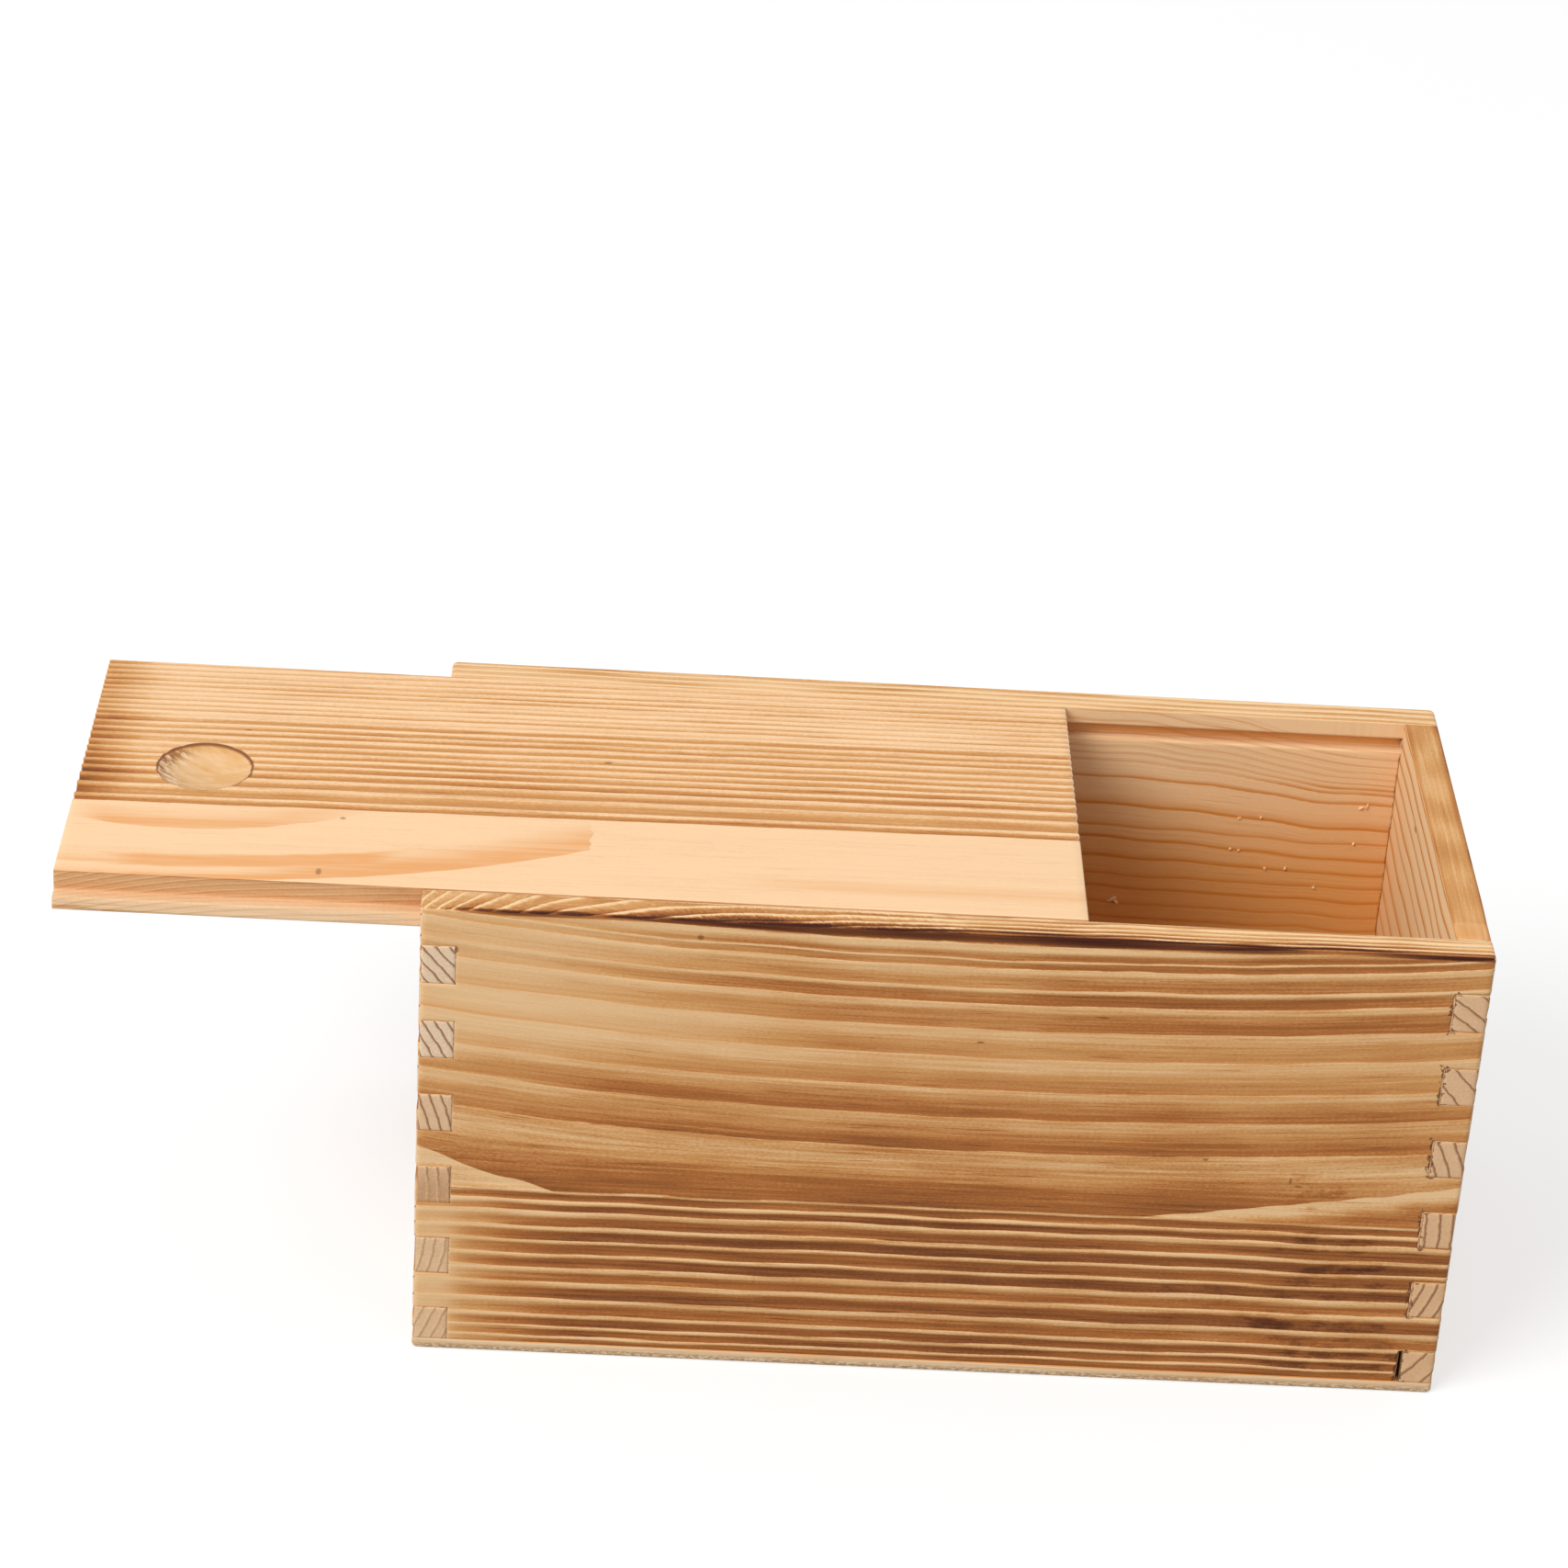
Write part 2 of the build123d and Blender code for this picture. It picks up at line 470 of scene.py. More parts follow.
# Each kind of face counts its rings from a number of its own, so that their tones differ
HIDDEN_FIRST, RIM_FIRST, BACK_FIRST, LEFT_FIRST, RIGHT_FIRST, LID_FIRST = 40, 90, 200, 400, 600, 800
# A point nearer than this to a face lies on it, in millimetres
TOUCH = 0.01
# Brushed depth of surfaces that the brush hardly reached, in millimetres
FAINT = 0.04
# The open slot in the front face, beside the lowest finger at the right: middle, width and height of its
# painted shade, a dark mark on its faces, and how wide, how high and how deep it is cut
SLOT_X, SLOT_Z, SLOT_WIDTH, SLOT_HEIGHT = 92.75, 6.3, 0.8, 6.6
SLOT_CUT, SLOT_LOW, SLOT_HIGH, SLOT_BACK = 0.65, 3.4, 9.8, 46.3


def wall_look(size, outer_side):
    """Look of a long wall as a function of place and side: the front wall's if its outer side is LOW_Y."""
    front = outer_side == LOW_Y
    inner_side = HIGH_Y if front else LOW_Y
    brush, scale = wood().brush_depth / MM, wood().ridge_scale

    def look(x, y, z, side):
        away, into_board = HALF_WIDTH - np.abs(y), np.maximum(np.abs(y) - INSIDE_Y, 0)
        outer = (side == outer_side) & (away < TOUCH)
        top = (side == HIGH_Z) & (z > RIM - TOUCH)
        inner = side == inner_side
        ends = (side == LOW_X) | (side == HIGH_X)
        hidden = ~outer & ~ends
        level = z - ring_rise(x) * ease(z, 40, 56)
        fields = blank_fields(x, x, level, away)
        wobble = 0.13 * sway(3 if front else 23, x, z, 46, 22)
        if front:
            number, width = growth_rings(front_ring_edges(x), z + wobble + 0.7 * away * ends)
            flame = front_flame(x, z) * ring_value([ring[2] for ring in FRONT_RINGS], number)
            flame = flame * (1 - 0.8 * ease(x, -89, -96) * ease(z, 36, 26))
            ridge = ring_value([ring[1] for ring in FRONT_RINGS], number) * scale
            inside, inside_width = growth_rings(front_ring_edges(-x), z + 1.9 + wobble + 0.8 * into_board)
            brushed_top = FRONT_BELOW[0][0] + straight_drift(x)
            fields["wedge"] = np.where(outer, ease(z, brushed_top - 0.2, brushed_top + 0.1), 0.0)
            fields["wedge_depth"] = np.where(outer, wedge_depth(x, z + wobble), -FAR)
        else:
            number, width = back_outer_rings(x, z + wobble + 0.6 * away * ends)
            flame = 0.62 + 0.08 * sway(31, x, z, 80, 30) - 0.25 * ease(x, 40, 95) * ease(z, 50, 90)
            ridge = np.clip(0.30 * width, 0.5, 1.5) * scale
            inside, inside_width = back_inner_rings(x, z + 0.26 * sway(37, x, z, 34, 40) + 0.8 * into_board)
        rim_number, rim_width = rim_rings(x, y, front)
        number = np.select([top, hidden], [rim_number + RIM_FIRST, inside + HIDDEN_FIRST], number)
        width = np.select([top, hidden], [rim_width, inside_width], width)
        ridge = np.where(top, (0.24 + 0.2 * ease(x, -60, 0)) * width, ridge)
        across = np.select([top, hidden], [-rim_width * rim_number, -3.0 * inside], level)
        fields["grain"] = np.stack([x, across, away], -1)
        fields["ring"], fields["width"], fields["ridge"] = number + (0 if front else BACK_FIRST), width, ridge
        late = np.where(hidden, 0.34 + 0.66 * ease(z, 86.5, 84), 0.5)
        fields["late"] = late * (1 - 0.7 * ease(z, 46, 36) * ease(x, -91, -94) * outer)
        fields["bare"] = np.where(hidden, 1.0, 0.0)
        # Painted shade inside: strong in the lid groove, and growing from 93 mm down to 55 mm elsewhere
        fields["deep"] = np.where(inner & in_groove(z, size), 0.8, ease(z, 93, 55) * ~top)
        fields["burn"] = np.select([outer, top, ends], [flame, rim_flame(x, y, front), 0.3], 0.0)
        depth = brush * (0.06 + 0.94 * np.clip(flame, 0, 1)) * np.where(width > 4.2, 0.6, 1.0)
        rim_depth = 0.55 * brush * (1 if front else 0.3)
        soft = soft_wood(number, width, ridge)
        fields["relief"] = soft * np.select([outer, top, ends], [depth, rim_depth, FAINT], 0.0)
        fields["ends"] = np.where(ends, 1.0, 0.0)
        fields["seam"], fields["ragged"] = wall_seams(x, z, size, outer, inner, front)
        fields["char"] = wall_char(x, y, z, outer, top, front)
        return fields

    return look


def rim_flame(x, y, front):
    """How far a long wall's rim was flamed: on the front one, most along its outer edge."""
    flame = 0.06 * sway(5, x, y, 60, 9) + 0.22
    if front:
        flame += 0.20 - 0.10 * ease(x, 10, 60) - 0.06 * ease(x, -50, -70)
        outer_band = ease(0.25 * sway(47, x, x * 0, 45, 30) - y, 45.0, 48.0)
        flame += outer_band * (0.12 + 0.72 * ease(x, -88, -30))
    return flame


def wall_seams(x, z, size, outer, inner, front):
    """Distance from a long wall's seams, and how ragged they are: by the fingers, in the slot as painted
    shade, and inside.
    """
    left = seam_distance(x, z, finger_spans(size, GROOVE_LOW), -HALF_LENGTH - 2, -INSIDE_X)
    right = seam_distance(x, z, finger_spans(size, RIM), INSIDE_X, HALF_LENGTH + 2)
    seam = np.minimum(left, right)
    slot = np.maximum(np.abs(x - SLOT_X) - SLOT_WIDTH / 2, np.abs(z - SLOT_Z) - SLOT_HEIGHT / 2)
    if front:
        seam = np.minimum(seam, np.maximum(slot, 0))
    seam = seam + 0.3 * ease(z, 46, 36) * ease(x, -94.5, -95.5)
    corner = np.minimum(np.abs(INSIDE_X - np.abs(x)), FAR)
    inner_edge = within(x, INSIDE_X - 1.2, INSIDE_X + 0.3, 0.3)
    # The slot's faces get the seam colour in full: painted shade in the narrow gap
    faces = [front & (slot < 0.4) & ~outer & ~inner, outer, inner & (z < GROOVE_LOW)]
    distance = np.select(faces, [0.0, seam, corner], FAR)
    return distance, np.select(faces, [1.0, 0.12 + 0.95 * inner_edge, 0.27], 0.0)


# Charred specks on the front face: from and to in x, from and to in z, and strength
SPECKS = (
    (70, 84, 32.5, 36.5, 0.50), (74, 84, 27, 30, 0.54), (67, 85, 21, 26, 0.43), (65, 69, 14, 17.5, 0.57),
    (77, 88, 14, 17.5, 0.47), (68, 90, 4, 12, 0.48), (48, 60, 15, 24, 0.40), (69, 74, 42, 50, 0.42),
)


def wall_char(x, y, z, outer, top, front):
    """Char of a long wall: along the arris between its face and its rim, and in specks low on the right."""
    if not front:
        arris = np.select([outer, top], [ease(z, RIM - 1.6, RIM), ease(np.abs(y), 47, 49)], 0.0)
        return arris * (0.4 + 0.25 * sway(41, x, z, 50, 60))
    reach = ease(x, -106, -84) * (0.94 + 0.10 * sway(43, x, x * 0, 60, 60))
    widened = within(x, -28, 48, 26)
    outward = 0.3 * sway(47, x, x * 0, 38, 30) - y
    arris = ease(z, RIM - 1.4 - 1.5 * widened, RIM - 0.4 - 0.6 * widened)
    band = ease(outward, 46.8 - 0.35 * widened, 48.6 - 0.15 * widened)
    specks = np.zeros_like(x)
    place = x + 2.5 * sway(53, z, z * 0, 9, 9)
    for low_x, high_x, low_z, high_z, strength in SPECKS:
        speck = within(place, low_x, high_x, 8) * within(z, low_z, high_z, 1.4)
        specks = np.maximum(specks, strength * speck)
    return np.select([outer, top], [reach * arris + specks, reach * band], 0.0)


def rim_rings(x, y, front):
    """Rings on the rim: streaks that leave the outer edge steeply at the left and flatten to the right."""
    if front:
        wave = 0.10 * sway(17, x, y, 34, 14)
        sweep = 0.010 * x - 9.0 * np.exp(-(x + 100) / 22) + 0.25 * ease(x, -60, 30)
        width = 4.1 - 2.7 * ease(x, -80, 5)
        return sweep - (y + 45.6) / width + wave + 30, width
    wave = 0.10 * sway(19, x, y, 70, 20)
    return (y - 42) / 2.1 + 0.006 * x + wave + 30, np.full_like(x, 2.1)


# Distances of the back wall's outer rings from their heart line, and levels of its inner ones from the top
# down. Each level comes with how far it falls towards the right.
BACK_OUTER = (80.0, 74.5, 68.0, 63.0, 59.4, 55.0, 50.6, 47.5, 43.0, 39.4, 36.5, 32.2, 28.9, 25.0, 21.8, 18.0,
              15.1, 11.2, 7.6, 4.0, 0.0)
BACK_INNER = (
    (104.0, 9.4), (101.6, 9.0), (99.4, 8.6), (97.2, 8.2), (95.0, 7.6), (93.0, 7.0), (91.2, 6.5), (89.6, 6.0),
    (88.0, 5.4), (84.2, 4.0), (77.6, 3.5), (72.5, 1.9), (69.8, 3.1), (65.2, 1.8), (61.0, 0.7), (58.1, 1.2),
    (54.4, 1.0), (51.0, 0.8), (46.4, 0.9), (42.6, 1.0), (37.9, 0.8), (34.6, 1.0), (30.2, 0.7), (25.3, 0.8),
    (21.7, 1.0), (16.8, 0.8), (12.4, 0.9), (8.5, 1.0), (3.9, 0.8), (-2.0, 0.8),
)


def back_outer_rings(x, z):
    """Rings of the back wall's outer face: distance from a heart line that runs ever deeper behind it."""
    return growth_rings(BACK_OUTER, np.hypot(z - 58, 9 + 0.11 * (x + 100)))


def back_inner_rings(x, z):
    """Rings of the back wall's inside: nearly level lines that fall a little towards the right."""
    fall = ease(x, 34, 92)
    return growth_rings([level - drop * fall for level, drop in BACK_INNER], z)


# Rings of the end walls: x and z of the heart line, and the rings' distances from it
LEFT_HEART, LEFT_RADII = (-160.0, 34.0), (150.0, 146.0, *np.arange(142.0, 20.0, -3.15))
RIGHT_HEART = (56.0, 37.0)
RIGHT_RADII = (92, 87.5, 84, 79.6, 76.8, 73, 69.9, 66.2, 63.4, 60.8, 57.8, 54.8, 50.7, 46.3, 43.6, 41.1, 38.4,
               35.6, 32.9, 29.5, 26.0, 22.0, 17.0, 12.0, 6.0, 0.0)
# Levels of the rings inside the right end wall
RIGHT_INNER = (104.0, 99.0, 95.0, 91.0, 87.0, 82.0, 78.0, 72.5, 66.0, 60.0, 55.0, *np.arange(50, -8, -4.5))


def end_wall_look(size, outer_side):
    """Look of an end wall as a function of place and side: its rings are circles round a heart line."""
    left = outer_side == LOW_X
    brush, scale = wood().brush_depth / MM, wood().ridge_scale
    spans = finger_spans(size, GROOVE_LOW if left else RIM)
    (heart_x, heart_z), radii = (LEFT_HEART, LEFT_RADII) if left else (RIGHT_HEART, RIGHT_RADII)

    def look(x, y, z, side):
        fields = blank_fields(x, y, z, np.abs(x))
        out = np.abs(x)
        outer = side == outer_side
        top = (side == HIGH_Z) & (z > RIM - TOUCH)
        ends = ((side == LOW_Y) | (side == HIGH_Y)) & (np.abs(y) > INSIDE_Y + 1)
        bend = 0.9 * sway(61 if left else 67, y, z, 110, 60)
        ripple = 0.07 * sway(71, z, x, 5, 9) * ends
        number, width = growth_rings(radii, np.hypot(x - heart_x, z - heart_z + bend) + ripple)
        if not left:
            inner, inner_width = growth_rings(RIGHT_INNER, z + 0.35 * sway(97, y, z, 50, 40))
            number = np.where(side == LOW_X, inner, number)
            width = np.where(side == LOW_X, inner_width, width)
        closer = np.where(ends & left, 1.55, 1.0)
        number, width = np.where(top, 4.9, number * closer), np.where(top, 9.0, width / closer)
        ridge = np.where(top, 0.1, np.clip(0.3 * width, 0.5, 1.3) * scale)
        fields["ring"] = number + (LEFT_FIRST if left else RIGHT_FIRST)
        fields["width"], fields["ridge"] = width, ridge
        fields["bare"] = np.where(outer | ends, 0.0, 1.0)
        # Painted shade on the bare inside, from 93 mm down to 55 mm, weaker than on the long walls
        fields["deep"] = 0.4 * ease(z, 93, 55)
        flame = 0.55 + 0.10 * sway(73 if left else 79, y, z, 60, 40) + 0.1 * ease(z, 40, 10)
        rim = 0.24 - 0.16 * within(y, -41.5, -37.5, 1.0) + 0.06 * sway(89, y, x, 30, 9)
        # The last term darkens the rim within a millimetre of its inner edge: painted shade along that edge
        rim += 0.05 * ease(y, 5, 38) + 0.22 * ease(out, 98.6, 99.6) + 0.16 * ease(out, 94.2, 93.3)
        if left:
            end_flame = 0.22 + 0.55 * ease(z, 62, 57) * ease(z, 27, 35)
        else:
            end_flame = 0.92 + 0.1 * ease(z, 46, 36)
        fields["burn"] = np.select([outer, top, ends], [flame, rim, end_flame], 0.0)
        soft = soft_wood(number, width, ridge)
        fields["relief"] = np.select([outer, top, ends], [soft * (0.7 * brush), soft * 2 * FAINT, 0.05], 0.0)
        blended = ease(z, 46, 36) * left
        fields["ends"] = np.where(ends, 1 - 0.45 * blended, 0.0)
        inner_edge = np.abs(out - INSIDE_X)
        level_edge = finger_edge(z, spans) + 0.3 * blended * ease(out, 94.5, 95.5)
        # The finger's face in the open slot gets the seam colour in full: painted shade in the gap
        in_slot = (not left) & (side == LOW_X) & (y < -46) & (z < SLOT_Z + SLOT_HEIGHT / 2)
        rough = 0.10 + (0.0 if left else 0.60) * (inner_edge < 0.9)
        fields["seam"] = np.select([in_slot, ends], [0.0, np.minimum(level_edge, inner_edge)], FAR)
        fields["ragged"] = np.select([in_slot, ends], [1.0, rough], 0.0)
        arris = np.select([outer, top], [ease(z, RIM - 1.0, RIM) * (not left), ease(out, 98.9, 99.8)], 0.0)
        fields["char"] = arris * (0.40 + 0.2 * sway(83, y, y * 0, 26, 40))
        return fields

    return look


def finger_edge(z, spans):
    """Distance of a height from the nearer level edge of the finger that it lies in."""
    nearest = np.full_like(z, FAR)
    for low, high in spans:
        in_finger = (z >= low) & (z <= high)
        nearest = np.where(in_finger, np.minimum(nearest, np.minimum(z - low, high - z)), nearest)
    return nearest


# The lid's brushed rings from the far edge to the near one: place of the sharp side at mid length, strength
LID_RINGS = (
    (44.4, 0.4), (42.3, 0.7), (40.2, 0.7), (38.0, 0.8), (35.7, 0.95), (33.6, 0.9), (31.7, 0.65), (29.7, 0.75),
    (27.7, 0.65), (25.6, 0.65), (23.6, 0.35), (21.6, 0.9), (19.0, 0.8), (16.5, 1.05), (14.2, 0.85),
    (11.2, 0.75), (8.6, 0.9), (6.1, 0.85), (3.5, 0.95), (0.8, 1.1), (-2.2, 0.95), (-5.8, 0.9), (-10.3, 1.1),
    (-13.0, 1.1), (-70.0, 0.0),
)
# The striped part of the lid ends here, and the smooth part begins
STRIPES_END = -13.2
# Width of the streaks on the lid's long edges
EDGE_STREAK = 1.35


def lid_half_width(size):
    """Half the lid's width above its tongues."""
    return LID_REACH - size["tongue_reach"]


def dish_measures(size):
    """Place of the thumb dish along the lid, and its radius."""
    return LID_LOW_X + size["dish_inset"], size["dish_diameter"] / 2


def lid_look(size):
    """Look of the lid as a function of place and side."""
    brush, scale = wood().lid_brush_depth / MM, wood().ridge_scale
    dish_x, dish_half = dish_measures(size)

    def look(x, y, z, side):
        face = (side == HIGH_Z) & (z > LID_TOP - TOUCH)
        ends = (side == LOW_X) | (side == HIGH_X)
        long_edge = (side == LOW_Y) | (side == HIGH_Y) | ((side == HIGH_Z) & ~face)
        drift = 0.0125 * (x + 35) - 0.00002 * (x + 35) ** 2
        fields = blank_fields(x, x, y - drift * face, z)
        place = y - drift * (side != LOW_Z) + 0.07 * sway(101, x, y, 55, 30) + 0.8 * (LID_TOP - z) * ends
        number, width = growth_rings([np.full_like(x, ring[0]) for ring in LID_RINGS], place)
        strength = ring_value([ring[1] for ring in LID_RINGS[1:]], number - 1)
        turned_down = (LID_TOP - z) + np.abs(y) - lid_half_width(size)
        sweep = 0.014 * x - 6.5 * np.exp(-(x + 169) / 28) + turned_down / EDGE_STREAK
        number = np.where(long_edge, sweep + 0.10 * sway(107, x, z, 60, 12) + HIDDEN_FIRST, number)
        width = np.where(long_edge, EDGE_STREAK, width)
        ridge = (0.42 + 0.16 * ease(y, 21, 26)) * np.minimum(width, 3.4) * scale
        ridge = np.where(long_edge, 0.22, ridge)
        fields["ring"], fields["width"], fields["ridge"] = number + LID_FIRST, width, ridge
        fields["late"] = np.zeros_like(x)
        striped = y - drift > STRIPES_END
        above_tongue = ease(z, 95.9, 96.6)
        flame = 0.43 - 0.06 * ease(y, 20, 30) - 0.10 * ease(x, -110, -150) * ease(y, -3, 10)
        flame = striped * flame * (1 + 0.08 * sway(103, x, y, 90, 18)) * strength
        fields["burn"] = np.where(face, flame, long_edge * (0.05 + 0.05 * above_tongue))
        fields["ends"] = np.where(ends, 1.0, 0.22 * long_edge)
        soft = soft_wood(number, width, ridge)
        depth = striped * brush * (0.5 + 0.5 * strength) * (1 - 0.6 * ease(x, -105, -145) * ease(y, 6, 16))
        radius = np.hypot(x - dish_x, y)
        dip = np.where(radius < dish_half, dish_dip(radius, size), soft * depth)
        fields["relief"] = np.where(face, dip, soft * depth * 1.3 * ends)
        fields["dish"] = np.where(face, dish_half - radius, -FAR)
        fields["char"] = np.where(face, lid_end_char(x, y), long_edge * lid_side_char(x, y, z, above_tongue))
        fields.update(growth_marks(x, y, face))
        return fields

    return look


def lid_end_char(x, y):
    """Char of the lid's face: over the striped part's outer end."""
    near_end = x + 2.2 * sway(109, y, y * 0, 14, 14)
    return ease(near_end, -155, -169) * ease(y, -16, -12) * (0.62 - 0.12 * ease(y, 10, 24))


def lid_side_char(x, y, z, above_tongue):
    """Char of the lid's long edges: along the near arris, above the tongue, and in one short streak."""
    arris = (y < 0) * ease(z, LID_TOP - 0.9, LID_TOP - 0.2) * ease(x, -60, -110) * 0.6
    browned = above_tongue * (0.33 + 0.16 * ease(x, -114, -102))
    streak = within(z + 0.05 * (x - LID_LOW_X), 94.0, 94.35, 0.25) * ease(x, -150, -158)
    return np.maximum(arris, np.maximum(browned, 0.6 * streak))


def dish_dip(radius, size):
    """Depth of the thumb dish, a cap of a ball of radius R: the root of R^2 - r^2, less R - depth."""
    half, depth = size["dish_diameter"] / 2, size["dish_depth"]
    ball = (half * half + depth * depth) / (2 * depth)
    return np.maximum(np.sqrt(np.maximum(ball * ball - radius * radius, 0)) - (ball - depth), 0)


def growth_marks(x, y, face):
    """Broad growth marks on the lid's smooth part, each as strength and as distance inside its sharp edge.

    The long mark's lower edge rises ever faster to its tip. The patch hangs like a bowl from the stripes.
    """
    along = np.clip((x + 169) / 97, 0, 1.1)
    lower = -43.5 + 17.2 * along ** 2.6 + 0.12 * sway(111, x, x * 0, 12, 9)
    tip = -69.4 - 0.010 * (y + 21) ** 2 + 0.25 * sway(113, y, y * 0, 5, 9)
    upper = lower + 10.4 + 2.4 * ease(x, -100, -76)
    tongue = ease(y, upper, lower + 1.5) * (1.0 - 0.15 * ease(x, -100, -75)) * (x < -60)
    gap = within(y - lower, 2.4, 4.6, 1.3) * ease(x, -118, -138)
    second = within(y - lower, 5.2, 8.4, 1.2) * within(x, -152, -112, 12)
    tongue = np.maximum(tongue - 0.75 * gap, 0.9 * second)
    bowl = -24.4 + 0.0072 * np.abs(x + 148) ** 2 + 0.15 * sway(117, x, x * 0, 14, 9)
    patch = 0.75 * ease(y, bowl + 8.5, bowl + 1.0) * ease(x, -169, -160) * ease(x, -110, -130)
    band = within(y, -35.4, -33.2, 2.2) * within(x, -24, 30, 22) * 0.30
    return {
        "tongue": np.where(face, tongue, 0.0),
        "tongue_edge": np.minimum(y - lower, tip - x),
        "patch": np.where(face, patch, 0.0),
        "patch_edge": y - bowl,
        "band": np.where(face, band, 0.0),
    }


def lid_worn(points, size):
    """Points of the lid with both long top edges drawn in to a quarter circle."""
    out = points.copy()
    radius = size["lid_edge_radius"]
    one = radius - (lid_half_width(size) - np.abs(points[:, 1]))
    two = radius - (LID_TOP - points[:, 2])
    draw = rounding_share(one, two, radius, (one > 0) & (two > 0))
    out[:, 1] -= np.sign(points[:, 1]) * one * (1 - draw)
    out[:, 2] -= two * (1 - draw)
    return out


class Wiring:
    """Adds nodes to one shader tree. An input that is given a socket is linked; any other value is set."""

    def __init__(self, tree):
        self.tree = tree

    def feed(self, socket, value):
        if isinstance(value, bpy.types.NodeSocket):
            self.tree.links.new(value, socket)
        elif socket.type == "RGBA" and len(value) == 3:
            socket.default_value = (*value, 1.0)
        else:
            socket.default_value = value

    def node(self, kind, inputs=None, **settings):
        made = self.tree.nodes.new("ShaderNode" + kind)
        for key, value in settings.items():
            setattr(made, key, value)
        for key, value in (inputs or {}).items():
            self.feed(made.inputs[key], value)
        return made

    def math(self, operation, *values):
        return self.node("Math", dict(enumerate(values)), operation=operation).outputs[0]

    def add(self, first, *others):
        for other in others:
            first = self.math("ADD", first, other)
        return first

    def times(self, first, *others):
        for other in others:
            first = self.math("MULTIPLY", first, other)
        return first

    def less(self, first, second):
        return self.math("SUBTRACT", first, second)

    def vector(self, operation, *values):
        return self.node("VectorMath", dict(enumerate(values)), operation=operation).outputs

    def step(self, value, start, stop, low=0.0, high=1.0, kind="SMOOTHSTEP"):
        """Smooth step of the value from low at start to high at stop."""
        inputs = dict(enumerate((value, start, stop, low, high)))
        return self.node("MapRange", inputs, interpolation_type=kind).outputs[0]

    def line(self, *values):
        """Straight line of the value from low at start to high at stop, clamped."""
        return self.step(*values, kind="LINEAR")

    def blend(self, amount, first, second):
        return self.node("Mix", {0: amount, 6: first, 7: second}, data_type="RGBA").outputs[2]

    def noise(self, vector, stretch, detail=2.0, rough=0.5):
        """Noise whose grain has the given number of waves per unit along each axis."""
        inputs = {"Vector": self.vector("MULTIPLY", vector, stretch)[0], "Scale": 1.0, "Detail": detail,
                  "Roughness": rough}
        return self.node("TexNoise", inputs).outputs[0]

    def value(self, name, kind="Fac"):
        """The piece's own value of that name."""
        return self.node("Attribute", attribute_name=name, attribute_type="GEOMETRY").outputs[kind]

    def place(self):
        """Place on the piece, in metres."""
        return self.node("TexCoord").outputs["Object"]

    def split(self, vector):
        return self.node("SeparateXYZ", {0: vector}).outputs

    def seen(self):
        """1 where the camera, gloss or glass sees the surface, and 0 for light that it sends on."""
        path = self.node("LightPath").outputs
        direct = self.math("MAXIMUM", path["Is Camera Ray"], path["Is Glossy Ray"])
        return self.math("MAXIMUM", direct, path["Is Transmission Ray"])

    def use(self, group, inputs):
        return self.node("Group", inputs, node_tree=group).outputs


def shared_group(name, inputs, build):
    """The node group of that name, built the first time it is asked for.

    An input's default tells its kind: a number, three numbers of a vector or four of a colour.
    """
    tree = bpy.data.node_groups.get(name)
    if tree:
        return tree
    tree = bpy.data.node_groups.new(name, "ShaderNodeTree")
    kinds = {1: "NodeSocketFloat", 3: "NodeSocketVector", 4: "NodeSocketColor"}
    for label, default in inputs.items():
        kind = kinds[np.size(default)]
        tree.interface.new_socket(label, in_out="INPUT", socket_type=kind).default_value = default
    results = build(Wiring(tree), tree.nodes.new("NodeGroupInput").outputs)
    for label, socket in results.items():
        kind = kinds[4 if socket.type == "RGBA" else 1]
        tree.interface.new_socket(label, in_out="OUTPUT", socket_type=kind)
    end = tree.nodes.new("NodeGroupOutput")
    for label, socket in results.items():
        tree.links.new(socket, end.inputs[label])
    return tree


def ring_group():
    """Year rings from a ring number: place in the ring from its sharp side, hard ridge, and its own tone."""

    def build(w, given):
        waver = w.less(w.noise(given["Grain"], (0.07, 0.8, 0.8)), 0.5)
        width = w.math("MAXIMUM", given["Width"], 0.5)
        number = w.add(given["Ring"], w.math("DIVIDE", w.times(waver, given["Waver"]), width))
        place = w.math("FRACT", number)
        away = w.times(place, width)
        fall = w.step(away, w.times(given["Ridge"], 0.45), w.times(given["Ridge"], 1.5), 1.0, 0.0)
        lead = w.step(w.less(width, away), 0.0, 0.16, 1.0, 0.0)
        tone = w.node("TexWhiteNoise", {"W": w.math("FLOOR", number)}, noise_dimensions="1D").outputs["Value"]
        return {"Place": place, "Away": away, "Ridge": w.math("MAXIMUM", fall, lead), "Tone": tone}

    inputs = {"Ring": 0.0, "Width": 4.0, "Ridge": 0.8, "Waver": 0.5, "Grain": (0, 0, 0)}
    return shared_group("Year rings", inputs, build)


def fibre_group():
    """Fibres of softwood from a place in millimetres along, across and through the grain."""

    def build(w, given):
        place = given["Grain"]
        return {
            "Streak": w.line(w.noise(place, (0.028, 1.4, 1.4), 4.0, 0.66), 0.25, 0.75),
            "Band": w.noise(place, (0.012, 0.36, 0.36), 2.0),
            "Mottle": w.noise(place, (0.05, 0.13, 0.13), 3.0, 0.6),
            "Pore": w.noise(place, (1.3, 3.0, 3.0), 2.0, 0.6),
            "Tick": w.step(w.noise(place, (0.08, 2.3, 2.3), 1.0), 0.66, 0.76),
        }

    return shared_group("Softwood fibre", {"Grain": (0, 0, 0)}, build)


